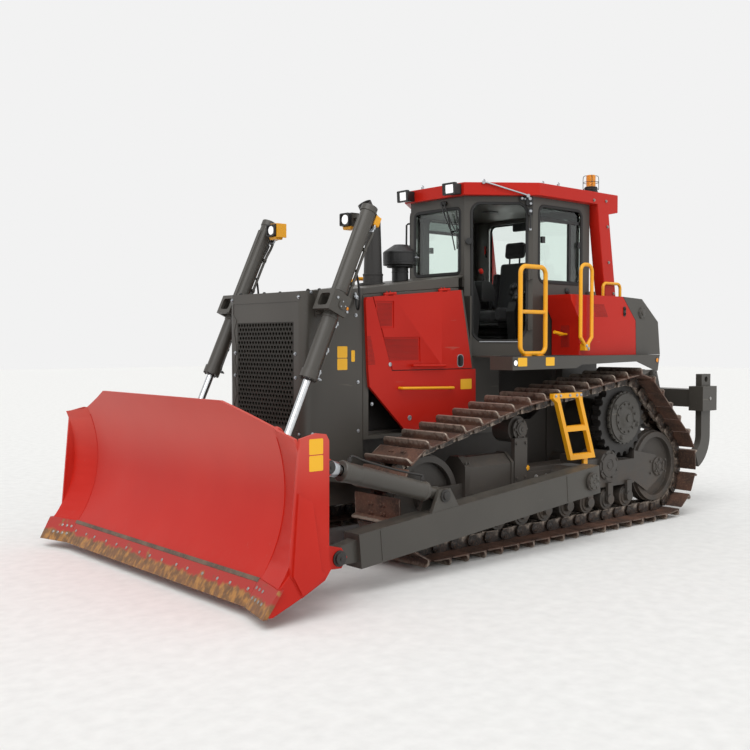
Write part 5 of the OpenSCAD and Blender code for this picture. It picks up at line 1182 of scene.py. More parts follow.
@dataclass
class EngineHouse:
    """Nose, hood and doors: bolts, perforated fields, latches, grab bar, blank signs, stack and precleaner."""

    skin: float = 0.596
    nose: float = 0.560
    front: float = 2.154
    hood_z: float = 2.308
    hood_rise: float = 0.0698
    field_y: float = 0.587
    upper: tuple = ((1.387, 2.246), (1.175, 2.251), (1.175, 2.013), (1.364, 2.011))
    lower: tuple = ((1.305, 1.932), (0.856, 1.934), (0.849, 1.707), (1.240, 1.709))
    strip: tuple = ((1.502, 1.949), (1.439, 1.949), (1.375, 1.674), (1.490, 1.676))
    stack: tuple[float, float] = (0.904, 3.030)
    cleaner: float = 0.554

    def doors(self) -> None:
        """Perforations of the fields in the doors and of the strip ahead of them, and the latches."""
        for s, side in SIDES:
            body = "engine_door_" + side
            spots = [*perforations(self.upper, 0.014), *perforations(self.lower, 0.014)]
            places = [along_y(x, self.field_y, z, s) for x, z in spots]
            punched("door_perforations", body, places)
            spot = along_y(0.330, self.skin, 1.712, s)
            latch = Stock().prism(rounded((-0.036, -0.054), (0.036, 0.054), 0.030, 6), spot, 0.004)
            grip = spot @ Matrix.Translation((0, 0, 0.004))
            latch.prism(rounded((-0.014, -0.040), (0.014, 0.040), 0.012, 5), grip, 0.012)
            latch.piece("door_latch_" + side, body, PLASTIC, 1.2)
            bezel = Stock().prism(rounded((-0.043, -0.061), (0.043, 0.061), 0.036, 6), spot, 0.0022)
            bezel.turned([(0.019, 0.0), (0.019, 0.004), (0.013, 0.006), (0.013, 0.002), (0.0, 0.002)],
                         along_y(1.222, self.skin, 1.690, s), 20)
            bezel.piece("latch_bezel_" + side, body, STEEL, 0.6)
        places = [along_y(x, self.skin, z, s) for s in (-1, 1) for x, z in perforations(self.strip, 0.012)]
        punched("strip_perforations", "chassis", places)

    def side(self) -> None:
        """Bolts along the nose, the yellow bar on the lower panel, blank signs and rubber stops."""
        low, high = 1.120, 2.270
        beside = ((1.585, 2.119), (1.562, 1.543), (1.404, 1.346), (2.071, 2.300), (1.560, high), (1.560, low),
                  (2.060, low))
        before = ((0.500, 2.262), (0.452, 1.790), (0.455, 1.590), (0.500, low), (0.200, low))
        flats = [along_y(x, self.nose, z, s) for s in (-1, 1) for x, z in beside]
        flats += [along_x(self.front, s * y, z) for s in (-1, 1) for y, z in before]
        head = hex_bolt(0.011, 0.009, 0.0025)
        Repeat("nose_bolts", head, STEEL, spin=60, slot="worn_steel").build("chassis", flats)
        stops = [aim((x, s * 0.505, self.hood_z + (self.front - x) * self.hood_rise), (0.07, 0, 1))
                 for s in (-1, 1) for x in (2.06, 1.94, 1.80, 1.62)]
        stop = Stock().turned([(0.016, -0.003), (0.016, 0.008), (0.010, 0.017), (0.0, 0.019)], Matrix(), 14)
        Repeat("hood_stops", stop, RUBBER, slot="black_plastic").build("chassis", stops)
        bar, signs, rings = Stock(), Stock(), Stock()
        y = self.skin
        bar.tube([(1.112, y - 0.002, 1.478), (1.106, y + 0.036, 1.478), (1.085, y + 0.050, 1.4776),
                  (0.80, y + 0.052, 1.471),
                  (0.496, y + 0.050, 1.4635), (0.475, y + 0.036, 1.463), (0.469, y - 0.002, 1.463)], 0.0125)
        for x, face, z, wide, tall in ((1.737, self.nose, 1.803, 0.110, 0.098), (1.737, self.nose, 1.699, 0.110, 0.098),
                                       (1.618, self.nose, 1.768, 0.040, 0.098), (0.250, y, 1.490, 0.150, 0.096)):
            sign(signs, along_y(x, face, z), wide, tall)
        rings.turned([(0.024, -0.001), (0.024, 0.004), (0.015, 0.005), (0.015, 0.001), (0.0, 0.001)],
                     along_y(0.985, y, 1.205), 20)
        bar.doubled().piece("panel_grab_bar", "chassis", YELLOW)
        signs.doubled().piece("blank_signs_on_nose", "chassis", SIGN)
        rings.doubled().piece("panel_eyelets", "chassis", STEEL, 0.5)

    def pipes(self) -> None:
        """Bands of the stack and of the precleaner."""
        x, bend = self.stack
        centre = Matrix.Translation((x, 0, 0))
        iron = Stock().turned([(0.0945, 2.516), (0.0975, 2.519), (0.0975, 2.531), (0.0935, 2.534)], centre, 40)
        iron.turned([(0.128, 2.425), (0.128, 2.444), (0.100, 2.448)], centre, 40)
        mouth = aim((x + 0.098, 0, bend + 0.148), (0.5692, 0, 0.8222))
        iron.ring([(0.0665, -0.002), (0.0665, 0.014), (0.062, 0.016), (0.0585, 0.010), (0.0585, -0.004)], mouth, 40)
        iron.piece("stack_bands", "chassis", CAST)
        # dark disc in the stack's mouth: its soot, and painted shade for the depth of the pipe
        Stock().turned([(0.0575, -0.060), (0.0, -0.060)], mouth, 32).piece("stack_soot", "chassis", SHADE_AND_SOOT)
        band, tag = Stock(), Stock()
        centre = Matrix.Translation((self.cleaner, 0, 0))
        for low, high, r in ((2.655, 2.668, 0.167), (2.742, 2.752, 0.168), (2.452, 2.466, 0.084),
                             (2.560, 2.572, 0.083)):
            band.turned([(r - 0.003, low), (r, low + 0.002), (r, high - 0.002), (r - 0.003, high)], centre, 48)
        rib = [(-0.003, -0.006), (0.003, -0.006), (0.003, 0.006), (-0.003, 0.006)]
        for a in (2 * math.pi * k / 24 for k in range(24)):
            c, d = math.cos(a), math.sin(a)
            band.prism(rib, aim((self.cleaner + 0.163 * c, 0.163 * d, 2.670), (0, 0, 1), (c, d, 0)), 0.070)
        fitting(tag, (self.cleaner - 0.035, 0.168, 2.700), (-1, 0.1, 0), 0.010, 0.05)
        band.piece("precleaner_bands", "chassis", PLASTIC)
        tag.piece("precleaner_clamp", "chassis", STEEL)

    def build(self) -> None:
        """Builds all of the engine house."""
        self.doors()
        self.side()
        self.pipes()


# ---------- lift cylinders ----------
@dataclass
class LiftGear:
    """Lift cylinders: lamps, oil lines, hoses, glands and the caps of their pivots."""

    top: Vector = field(default_factory=lambda: Vector((1.589, 0.733, 3.000)))
    eye: Vector = field(default_factory=lambda: Vector((2.6249, 0.733, 0.750)))
    pivot_at: float = 0.890
    gland: float = 1.550

    def line(self) -> Matrix:
        """Frame of the left cylinder: Z down along it, X to its rear and Y outward."""
        return aim(self.top, self.eye - self.top, (-1, 0, 0))

    def lamp(self, s: int, body: str) -> None:
        """Work lamp: its hood, lens and yellow base, with a painted cover on the right one."""
        x, y, z = self.top
        face = along_x(x + 0.1025, y - 0.188, z - 0.068)
        hood, lens, base = Stock(), Stock(), Stock()
        outer = rounded((-0.060, -0.054), (0.060, 0.054), 0.012)
        inner = rounded((-0.050, -0.044), (0.050, 0.044), 0.010)
        levels = ((outer, -0.03), (outer, 0.014), (inner, 0.012), (inner, 0.001))
        hood.loft([[face @ Vector((*p, out)) for p in ring] for ring, out in levels], caps=False)
        for k in range(5):
            rib = y - 0.246 + k * 0.024
            hood.block((x - 0.014, rib, z - 0.118), (x + 0.002, rib + 0.008, z - 0.020))
        lens.turned([(0.040, 0.0), (0.040, 0.005), (0.030, 0.008), (0.0, 0.009)], face, 28)
        foot = along_x(x + 0.008, y - 0.188, z - 0.126)
        base.prism([(-0.058, 0.0), (0.058, 0.0), (0.046, -0.026), (-0.046, -0.026)], foot, 0.078)
        if s < 0:
            # the right lamp has a painted cover on its inner side and top
            base.block((x - 0.020, y - 0.262, z - 0.134), (x + 0.088, y - 0.2475, z - 0.004))
            base.block((x - 0.020, y - 0.2475, z - 0.0085), (x + 0.088, y - 0.150, z - 0.0035))
        hood.mirrored(s).piece("lamp_hood_" + body, body, PLASTIC)
        lens.mirrored(s).piece("lamp_lens_" + body, body, LAMP)
        base.mirrored(s).piece("lamp_base_" + body, body, YELLOW, 3.0)

    def lines(self, s: int, body: str) -> None:
        """Oil lines, their fittings, the yellow junction at the top and the bolts of the gland."""
        base = self.line()
        turned, down = base.to_3x3(), self.eye - self.top
        box, pipe, bright, iron = Stock(), Stock(), Stock(), Stock()
        box.prism(rounded((-0.040, -0.044), (0.040, 0.044), 0.010), base @ along_x(0.068, 0.0, 0.052), 0.062)
        iron.prism(rounded((-0.030, -0.05), (0.030, 0.05), 0.008), base @ along_x(0.055, 0.0, 0.052), 0.018)
        for k, y in enumerate((-0.030, 0.0, 0.030)):
            fitting(bright, base @ Vector((0.100 - 0.004 * k, y, 0.096)), down, 0.012, 0.052 + 0.008 * k)
        for y, low in ((-0.030, 0.15), (0.030, 0.16)):
            route = ((0.098, low), (0.096, low + 0.06), (0.084, low + 0.16), (0.081, 0.5), (0.081, 0.800))
            pipe.tube([base @ Vector((x, y, z)) for x, z in route], 0.0125)
            for z in (0.34, 0.66):
                iron.prism(rounded((-0.016, -0.014), (0.016, 0.014), 0.004), base @ along_x(0.060, y, z), 0.032)
        route = ((0.079, 0.012, 1.000), (0.080, 0.012, 1.050), (0.080, 0.012, 1.20), (0.081, 0.010, 1.420),
                 (0.084, 0.004, 1.470))
        pipe.tube([base @ Vector(p) for p in route], 0.0095)
        for z in (1.005, 1.245, 1.440):
            fitting(bright, base @ Vector((0.080, 0.012, z)), down, 0.013, 0.056)
        fitting(bright, base @ Vector((0.070, -0.02, 1.490)), turned @ Vector((1, 0, 0)), 0.011, 0.040)
        fitting(bright, base @ Vector((0.066, 0.034, 1.520)), turned @ Vector((1, 0.3, 0)), 0.010, 0.034)
        for x, y in circle(0.0, 0.0, 0.063, 8, 22.5):
            iron.turned([(0.0085, 0.0), (0.0085, 0.010)], base @ aim((x, y, self.gland - 0.001)), 6)
        for z, high in ((0.985, 0.028), (0.745, 0.030)):
            rim = [(0.0645, z), (0.069, z + 0.003), (0.069, z + high - 0.003), (0.0645, z + high)]
            iron.ring(rim, base, 40)
        box.mirrored(s).piece("junction_" + body, body, YELLOW, 3.0)
        pipe.mirrored(s).piece("oil_lines_" + body, body, GREY)
        bright.mirrored(s).piece("oil_fittings_" + body, body, STEEL)
        iron.mirrored(s).piece("line_clamps_" + body, body, GREY, 0.6)

    def hose(self, s: int, body: str) -> None:
        """Hose that hangs in a loop from a barrel's oil line to the nose beside its collar."""
        start, r = self.line() @ Vector((0.079, 0.0, 0.52)), 0.0095
        near, end = Vector((1.699, 0.744, 2.262)), Vector((1.596, 0.578, 2.262))
        middle, reach = (near + end) / 2, (near - end) / 2
        points = [start, Vector((1.7165, 0.737, 2.424)), Vector((1.7045, 0.742, 2.343))]
        for k in range(7):
            a = math.pi * k / 6
            points.append(middle + reach * math.cos(a) - Vector((0, 0, reach.length * math.sin(a))))
        path = [Vector((p.x, s * p.y, p.z)) for p in smooth_path(points, 3)]
        tube = Stock().tube(path, r, 12, soft=False)
        obj = tube.obj("lift_hose_" + body)
        obj.data.materials.append(RUBBER.build())
        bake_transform(obj)
        length = sum((b - a).length for a, b in zip(path, path[1:]))
        ends = Stock()
        fitting(ends, end - Vector((0, 0, 0.004)), (0, -0.25, 1), 0.014, 0.05)
        ends.turned([(0.012, 0.0), (0.012, 0.040)], aim(end + Vector((0.0, -0.008, 0.040)), (0, -1, 0)), 12)
        ends.mirrored(s).piece("hose_end_on_nose_" + body, "chassis", STEEL)

    def collars(self) -> None:
        """Bolts and grease points of the collars that the barrels swing in."""
        caps, brass = Stock(), Stock()
        pivot = self.top + (self.eye - self.top).normalized() * self.pivot_at
        outer = self.top.y + 0.104
        for x, z in circle(pivot.x, pivot.z, 0.026, 3, 90):
            caps.turned([(0.0065, 0.0), (0.0065, 0.006)], along_y(x, outer + 0.008, z), 6)
        for x, z in ((-0.045, -0.058), (0.050, 0.060)):
            caps.turned([(0.012, 0.0), (0.012, 0.009)], along_y(pivot.x + x, outer, pivot.z + z), 6)
        brass.turned([(0.019, -0.002), (0.019, 0.010), (0.012, 0.018), (0.0, 0.019)],
                     aim((pivot.x - 0.050, outer - 0.014, pivot.z - 0.030), (-0.8, 0.3, -0.3)), 16)
        caps.doubled().piece("collar_bolts", "chassis", STEEL)
        brass.doubled().piece("collar_plugs", "chassis", AMBER)

    def build(self) -> None:
        """Builds both cylinders' fittings."""
        for s, side in SIDES:
            body = "lift_barrel_" + side
            self.lamp(s, body)
            self.lines(s, body)
            self.hose(s, body)
        self.collars()


# ---------- platform and tanks ----------
@dataclass
class Deck:
    """Platform, tanks, rails and ladders: second colours, signs, caps, treads and reflectors."""

    side_y: float = 1.270
    tank_y: float = 1.150
    deck_z: float = 1.757
    ladder_y: float = 1.302

    def repaint(self, name: str, finish: Finish, cuts: Sequence[tuple[Point, Point]],
                test: Callable[[Vector], bool]) -> None:
        """Cuts a skin along planes and gives the faces that pass a test a second finish."""
        obj = bpy.data.objects[name]
        obj.data.materials.append(finish.build())
        bm = bmesh.new()
        bm.from_mesh(obj.data)
        for place, normal in cuts:
            bmesh.ops.bisect_plane(bm, geom=[*bm.verts, *bm.edges, *bm.faces], dist=1e-5, plane_co=place,
                                   plane_no=normal)
        for face in bm.faces:
            if test(face.calc_center_median()):
                face.material_index = 1
        bm.to_mesh(obj.data)
        bm.free()

    def tanks(self) -> None:
        """Grey rear ends of the tanks, with dark strips in the seams between the two colours that are painted shade in
        the gaps.
        """
        low, knee, high = Vector((-1.713, 0, 1.757)), Vector((-1.700, 0, 2.110)), Vector((-1.475, 0, 2.350))
        first, second = (knee - low).normalized(), (high - knee).normalized()
        n1, n2 = Vector((-first.z, 0, first.x)), Vector((-second.z, 0, second.x))

        def rear(p: Vector) -> bool:
            """Whether a place is behind the seam or on the inner side."""
            behind = (p - knee).dot(n1) > 0 if p.z < knee.z else (p - knee).dot(n2) > 0
            return behind or abs(p.y) < 0.8149

        for node in ("fuel_tank", "hydraulic_tank"):
            self.repaint("skin_" + node, GREY, ((knee, n1), (knee, n2)), rear)
        seams, y, gap = Stock(), self.tank_y, 0.0022
        for a, b in ((low + Vector((0, 0, 0.004)), knee), (knee, high - Vector((0.004, 0, 0.004)))):
            d, n = (b - a), (b - a).normalized()
            along = Matrix(((n.z, n.x, 0, a.x), (0, 0, 1, y - 0.002), (-n.x, n.z, 0, a.z), (0, 0, 0, 1)))
            seams.prism([(-gap, 0.0), (gap, 0.0), (gap, d.length), (-gap, d.length)], along, 0.0026)
        seams.doubled().piece("tank_seams", "chassis", SHADE_AND_SOOT)
        self.tank_fittings()

    def tank_fittings(self) -> None:
        """Latches, round covers, perforated fields and shut-off levers of the tanks."""
        latches, covers, y = Stock(), Stock(), self.tank_y
        spot = along_y(-1.500, y, 2.200)
        latches.prism(rounded((-0.020, -0.050), (0.020, 0.050), 0.019, 6), spot, 0.007)
        for e in (-0.024, 0.024):
            knob = spot @ Matrix.Translation((0, e, 0))
            latches.turned([(0.015, 0.006), (0.015, 0.013), (0.010, 0.015), (0.010, 0.008)], knob, 16)
        plate = along_y(-1.815, y, 2.190)
        covers.turned([(0.062, -0.001), (0.062, 0.006), (0.050, 0.008), (0.050, 0.012), (0.026, 0.014), (0.026, 0.022),
                       (0.020, 0.024)], plate, 32)
        for x, z in circle(0.0, 0.0, 0.056, 6):
            covers.turned([(0.007, 0.006), (0.007, 0.013)], plate @ Matrix.Translation((x, z, 0)), 6)
        covers.turned([(0.060, -0.002), (0.060, 0.012), (0.052, 0.014), (0.052, 0.040), (0.046, 0.046), (0.0, 0.048)],
                      aim((-1.150, 0.985, 2.350)), 28)
        latches.doubled().piece("tank_latches", "chassis", PLASTIC, 0.8)
        covers.doubled().piece("tank_covers", "chassis", GREY, 0.6)
        patch = ((-0.962, 2.272), (-1.160, 2.272), (-1.236, 2.130), (-1.010, 2.130))
        front = ((0.925, 2.060), (1.040, 2.060), (1.040, 1.830), (0.925, 1.830))
        places = [along_y(x, y, z, s) for s in (-1, 1) for x, z in perforations(patch, 0.006)]
        places += [along_x(-0.754, s * across, z) for s in (-1, 1) for across, z in perforations(front, 0.006)]
        punched("tank_perforations", "chassis", places)
        lever = Stock().tube([(-0.756, 1.000, 1.964), (-0.700, 1.000, 1.965), (-0.640, 1.000, 1.958)], 0.011)
        lever.tube([(-0.690, 1.000, 1.965), (-0.560, 1.000, 1.985)], 0.016, soft=False)
        lever.doubled().piece("tank_shut_off_levers", "chassis", YELLOW)

    def edge(self) -> None:
        """Signs and reflectors along the platform's side, and the treads on top."""
        signs, white, orange, pads, dark = Stock(), Stock(), Stock(), Stock(), Stock()
        y = self.side_y
        for x in (0.225, -0.165):
            sign(signs, along_y(x, y, 1.708), 0.125, 0.078)
        lens = [(0.025, 0.0), (0.025, 0.004), (0.018, 0.007), (0.0, 0.008)]
        front, rear = along_y(0.322, y, 1.700), along_y(-1.915, y, 1.700)
        white.turned(lens, front, 24)
        orange.turned([(r * 0.9, h) for r, h in lens], rear, 24)
        for spot, rims in ((front, (0.031, 0.026)), (rear, (0.027, 0.023))):
            dark.turned([(rims[0], -0.001), (rims[0], 0.003), (rims[1], 0.004)], spot, 24)
        for low, high in (((-0.40, 0.865), (0.085, 1.245)), ((-0.715, 0.865), (-0.43, 1.245)),
                          ((0.125, 1.030), (0.340, 1.245))):
            pads.prism(rounded(low, high, 0.02), Matrix.Translation((0, 0, self.deck_z - 0.0005)), 0.0022)
        dots = [Matrix.Translation((x0 + 0.02 * i, s * (0.885 + 0.02 * j), self.deck_z + 0.0015)) for s in (-1, 1)
                for x0, n in ((-0.38, 23), (-0.695, 13)) for i in range(n) for j in range(18)]
        signs.doubled().piece("blank_signs_on_platform", "chassis", SIGN)
        white.doubled().piece("white_reflectors", "chassis", LAMP)
        orange.doubled().piece("orange_reflectors", "chassis", AMBER)
        dark.doubled().piece("reflector_rims", "chassis", PLASTIC)
        pads.doubled().piece("tread_mats", "chassis", RUBBER, 0.4)
        stud = Stock().turned([(0.0055, 0.0), (0.0035, 0.0022), (0.0, 0.0022)], Matrix(), 6)
        Repeat("tread_studs", stud, RUBBER, slot="black_plastic").build("chassis", dots)

    def screen(self) -> None:
        """Darker paint between the holes of the radiator's screen."""
        half, low, high = 0.425, 1.172, 2.058
        cuts = (((0, half, 0), (0, 1, 0)), ((0, -half, 0), (0, 1, 0)), ((0, 0, low), (0, 0, 1)),
                ((0, 0, high), (0, 0, 1)))
        self.repaint("skin_radiator_grille", SCREEN, cuts, lambda p: abs(p.y) < half and low < p.z < high)

    def steps(self) -> None:
        """Ladders' grey inner sides, serrated rungs and the bolts at their heads, and the rails' feet."""
        inner = 1.278
        cuts = (((0, inner, 0), (0, 1, 0)), ((0, -inner, 0), (0, 1, 0)))
        self.repaint("skin_access_ladders", GREY_LOW, cuts, lambda p: abs(p.y) < inner)
        teeth = []
        for z in (0.821, 1.092):
            lean = (z - 1.340) * 0.37
            teeth += [Matrix.Translation((-0.520 + lean + k * 0.0245, s * self.ladder_y, z - 0.001))
                      for s in (-1, 1) for k in range(11)]
        corners, levels = ((-1, -1), (1, -1), (1, 1), (-1, 1)), ((0.009, 0.021, 0.0), (0.003, 0.019, 0.011))
        tooth = Stock().loft([[(a * i, b * j, z) for i, j in corners] for a, b, z in levels])
        Repeat("rung_teeth", tooth, YELLOW, slot="yellow_paint").build("chassis", teeth)
        bolts = [along_y(x, self.ladder_y + 0.022, 1.388, s) for s in (-1, 1)
                 for x in (-0.185, -0.255, -0.500, -0.560, -0.395)]
        rail = ((-0.822, 1.824), (-0.794, 1.852))
        bolts += [along_y(x, self.tank_y + 0.062, z, s) for s in (-1, 1) for x, z in rail]
        head = hex_bolt(0.011, 0.009, 0.002)
        Repeat("step_bolts", head, STEEL, spin=60, slot="worn_steel").build("chassis", bolts)
        feet = Stock()
        for x in (-0.100, 0.075):
            feet.prism(rounded((-0.045, -0.032), (0.045, 0.032), 0.010), aim((x, 1.190, self.deck_z)), 0.008)
            web = side_view(x, 1.186, self.deck_z + 0.006)
            feet.prism([(-0.030, 0.0), (0.030, 0.0), (0.014, 0.030), (-0.014, 0.030)], web, 0.008)
        feet.doubled().piece("rail_feet", "chassis", YELLOW, 1.0)

    def build(self) -> None:
        """Builds all of the platform's details."""
        self.tanks()
        self.edge()
        self.screen()
        self.steps()


# ---------- cab ----------
def eased(points: Sequence[Point], r: float, steps: int = 4) -> list[tuple[float, float]]:
    """Rounds the corners of an outline."""
    out = []
    for a, b, c in zip([points[-1], *points[:-1]], points, [*points[1:], points[0]]):
        p, q, w = Vector(a), Vector(b), Vector(c)
        near = min(r, (p - q).length * 0.48, (w - q).length * 0.48)
        one, two = q + (p - q).normalized() * near, q + (w - q).normalized() * near
        for k in range(steps + 1):
            t = k / steps
            v = one * (1 - t) ** 2 + q * 2 * t * (1 - t) + two * t**2
            out.append((v.x, v.y))
    return out


def band(stock: Stock, outline: Sequence[Point], frame: Matrix, wide: float, low: float, high: float) -> None:
    """Adds a strip that follows an outline, such as a rubber seal or a bezel."""
    rings = []
    for a, b, c in zip([outline[-1], *outline[:-1]], outline, [*outline[1:], outline[0]]):
        ahead = (Vector(c) - Vector(a)).normalized()
        across = Vector((ahead.y, -ahead.x)) * (wide / 2)
        b = Vector(b)
        ends = [b + across, b + across * 0.7, b - across * 0.7, b - across]
        heights = [low, high, high, low]
        rings.append([frame @ Vector((e.x, e.y, z)) for e, z in zip(ends, heights)])
    stock.loft(rings, closed=True)


@dataclass
class Cushion:
    """A moulded foam pad under a sewn cover: crowned, its sides pulled in between its corners."""

    name: str
    half: tuple
    frame: Matrix
    r: float = 0.035
    crown: float = 0.018
    channels: tuple = ()
    cuts: int = 13

    def build(self, finish: Finish, fill: float) -> bpy.types.Object:
        """Makes the pad; the sewn channels run along its Y at shares of its half width in X."""
        bm = bmesh.new()
        bmesh.ops.create_cube(bm, size=2.0)
        bmesh.ops.subdivide_edges(bm, edges=bm.edges, cuts=self.cuts, use_grid_fill=True)
        half = Vector(self.half)
        for vert in bm.verts:
            u, v, w = vert.co
            p = Vector((u * half.x, v * half.y, w * half.z))
            core = Vector(max(-h + self.r, min(h - self.r, c)) for c, h in zip(p, half))
            off = p - core
            if off.length > 1e-9:
                p = core + off.normalized() * self.r
            full = (1 - u * u) * (1 - v * v)
            if w > 0.0:
                p.z += self.crown * full * w
                for at in self.channels:
                    seam = math.exp(-(((p.x / half.x - at) * half.x) / 0.008) ** 2)
                    p.z -= 0.007 * seam * min(1.0, w * 2) * (1 - v**8)
            p.x *= 1 - 0.035 * (1 - v * v) * abs(u) ** 3
            p.y *= 1 - 0.030 * (1 - u * u) * abs(v) ** 3
            # a soft fold here and there where the cover has stretched
            p.z += 0.0016 * math.sin(38 * p.x + 11 * p.y) * math.sin(29 * p.y) * full * (1 if w > 0 else 0)
            vert.co = self.frame @ p
        bmesh.ops.recalc_face_normals(bm, faces=bm.faces)
        obj = mesh_object(self.name, bm, 80.0)
        ready(obj, "chassis", finish)
        return obj


@dataclass
class Cabin:
    """Cab: roof lamps, beacon cage, seals, wipers, window bars, seat, levers and trim."""

    front: float = 0.054
    rear: float = -1.376
    side_y: float = 0.800
    roof_z: float = 3.435

    def door_frame(self) -> Matrix:
        """Frame of the left slanting side: X to the rear along it, Y up, Z outward."""
        lean, out = 0.6210, 0.7837
        return aim((self.front, 0.380, 0.0), (lean, out, 0.0), (-out, lean, 0.0))

    def lamps(self) -> None:
        """Roof lamps with their bezels and the lenses' cells."""
        bezel, glass, iron = Stock(), Stock(), Stock()
        face = aim((0.207, 0.330, 3.368), (1.0, 0.06, -0.06), (0, 1, 0))
        outer = rounded((-0.084, -0.058), (0.084, 0.058), 0.010)
        inner = rounded((-0.050, -0.042), (0.050, 0.042), 0.006)
        levels = ((outer, -0.012), (outer, 0.016), (inner, 0.010), (inner, 0.002))
        bezel.loft([[face @ Vector((*p, out)) for p in ring] for ring, out in levels], closed=True)
        glass.prism(rounded((-0.049, -0.041), (0.049, 0.041), 0.006), face, 0.006)
        for x in (-0.024, 0.0, 0.024):
            for y in (-0.020, 0.020):
                glass.turned([(0.011, 0.0055), (0.009, 0.0085), (0.0, 0.0095)], face @ Matrix.Translation((x, y, 0.0)),
                             12)
        for k in range(6):
            bezel.block((0.096, 0.276 + k * 0.020, 3.325), (0.104, 0.284 + k * 0.020, 3.412))
        foot = aim((0.120, 0.330, 3.345), (0, 0, -1), (0, 1, 0))
        iron.prism([(-0.030, 0.0), (0.030, 0.0), (0.022, -0.045), (-0.022, -0.045)], foot, 0.006)
        bezel.doubled().piece("roof_lamp_bezels", "chassis", PLASTIC, 1.0)
        glass.doubled().piece("roof_lamp_lenses", "chassis", LAMP)
        iron.doubled().piece("roof_lamp_brackets", "chassis", STEEL)

    def beacon(self) -> None:
        """Beacon's rubber base, wire cage and supply lead clipped to the roof."""
        wire, lead = Stock(), Stock()
        x, y = -1.396, 0.800
        foot = Matrix.Translation((x, y, self.roof_z - 0.001))
        base = Stock().turned([(0.072, 0.0), (0.072, 0.012), (0.0645, 0.020), (0.0645, 0.044), (0.069, 0.050),
                               (0.060, 0.060), (0.0, 0.060)], foot, 28)
        for c, d in circle(0.0, 0.0, 1.0, 4, 45):
            bars = ((0.060, 3.462), (0.078, 3.470), (0.080, 3.52), (0.078, 3.590), (0.060, 3.609), (0.0, 3.611))
            wire.tube([(x + r * c, y + r * d, z) for r, z in bars], 0.0032, 8)
        for z, r in ((3.470, 0.078), (3.540, 0.081)):
            wire.hoop(Matrix.Translation((x, y, z)), r, 0.003, 36)
        lead.tube([(x + 0.055, y, 3.450), (x + 0.110, y - 0.004, 3.444), (x + 0.180, y - 0.012, 3.4405),
                   (x + 0.262, y - 0.004, 3.4405), (x + 0.268, y + 0.004, 3.432)], 0.005, 8)
        lead.block((x + 0.145, y - 0.020, 3.4345), (x + 0.157, y - 0.002, 3.447))
        wire.piece("beacon_cage", "chassis", PLASTIC)
        base.piece("beacon_base", "chassis", RUBBER)
        lead.piece("beacon_lead", "chassis", RUBBER)

    def seals(self) -> None:
        """Rubber round the doorway and the windows, and the sill strip."""
        rubber, trim = Stock(), Stock()
        way = eased(((.080, 1.970), (.150, 1.900), (.546, 1.900), (.616, 2.010), (.616, 3.180), (.566, 3.240),
                     (.120, 3.240), (.070, 3.180)), 0.05)
        band(rubber, way, self.door_frame(), 0.030, -0.001, 0.010)
        y = self.side_y
        for low, high, r, frame, wide in (
                ((-0.320, 2.560), (0.320, 3.200), 0.05, along_x(self.front, 0, 0), 0.034),
                ((0.566, 2.480), (1.246, 3.230), 0.07, aim((0, y, 0), (0, 1, 0), (-1, 0, 0)), 0.032),
                ((-1.246, 2.480), (-0.566, 3.230), 0.07, along_y(0, y, 0, -1), 0.032),
                ((-0.560, 2.420), (0.560, 3.200), 0.07, aim((self.rear, 0, 0), (-1, 0, 0), (0, -1, 0)), 0.032)):
            band(rubber, rounded(low, high, r), frame, wide, -0.001, 0.006)
        # bright sill strip on the doorway's lower edge
        sill = self.door_frame() @ Matrix.Translation((0, 0, 0.006))
        trim.prism([(0.150, 1.888), (0.546, 1.888), (0.546, 1.896), (0.150, 1.896)], sill, 0.006)
        rubber.piece("cab_seals", "chassis", RUBBER)
        trim.piece("door_sill_strip", "chassis", STEEL)

    def windows(self) -> None:
        """Sliding panes' bars and catches, the smoked upper lights and the wipers."""
        bars, smoke, catches, wiper = Stock(), Stock(), Stock(), Stock()
        for s in (1, -1):
            for x0, x1, z0, z1 in ((-1.240, -0.572, 3.086, 3.118), (-1.090, -1.058, 2.488, 3.090),
                                   (-1.236, -0.576, 2.486, 2.506)):
                bars.block((x0, 0.752, z0), (x1, 0.786, z1), s)
            smoke.prism(rounded((-1.236, 3.118), (-0.576, 3.222), 0.03), side_view(0, s * 0.7745, 0), 0.002)
            for x, z in ((-0.640, 2.900), (-1.215, 2.880)):
                catches.block((x - 0.024, 0.774, z - 0.032), (x + 0.024, 0.800, z + 0.032), s)
        for y0, y1 in ((0.085, 0.230), (0.125, 0.285)):
            wiper.tube([(0.052, y0, 3.262), (0.082, y0 + 0.004, 3.262), (0.086, (y0 + y1) / 2, 3.110),
                        (0.080, y1, 2.972)],
                       0.0065, 8)
            motor = [(0.022, 0.0), (0.022, 0.018), (0.014, 0.026), (0.0, 0.027)]
            wiper.turned(motor, along_x(self.front, y0, 3.262), 16)
        for y0, z0, y1, z1 in ((0.165, 3.160, 0.272, 2.790), (0.292, 3.175, 0.300, 2.800)):
            y, z = (y0 + y1) / 2, (z0 + z1) / 2
            wiper.tube([(0.072, y0, z0), (0.070, y, z), (0.072, y1, z1)], 0.006, 8)
            wiper.block((0.029, y - 0.004, z - 0.01), (0.080, y + 0.004, z + 0.01))
        wiper.tube([(-1.215, 0.802, 2.860), (-1.222, 0.806, 2.760), (-1.230, 0.806, 2.640)], 0.0045, 8)
        bars.piece("sliding_window_bars", "chassis", PLASTIC, 1.5)
        smoke.piece("smoked_upper_panes", "chassis", SMOKED)
        catches.piece("window_catches", "chassis", PLASTIC, 3.0)
        wiper.piece("wipers", "chassis", PLASTIC)

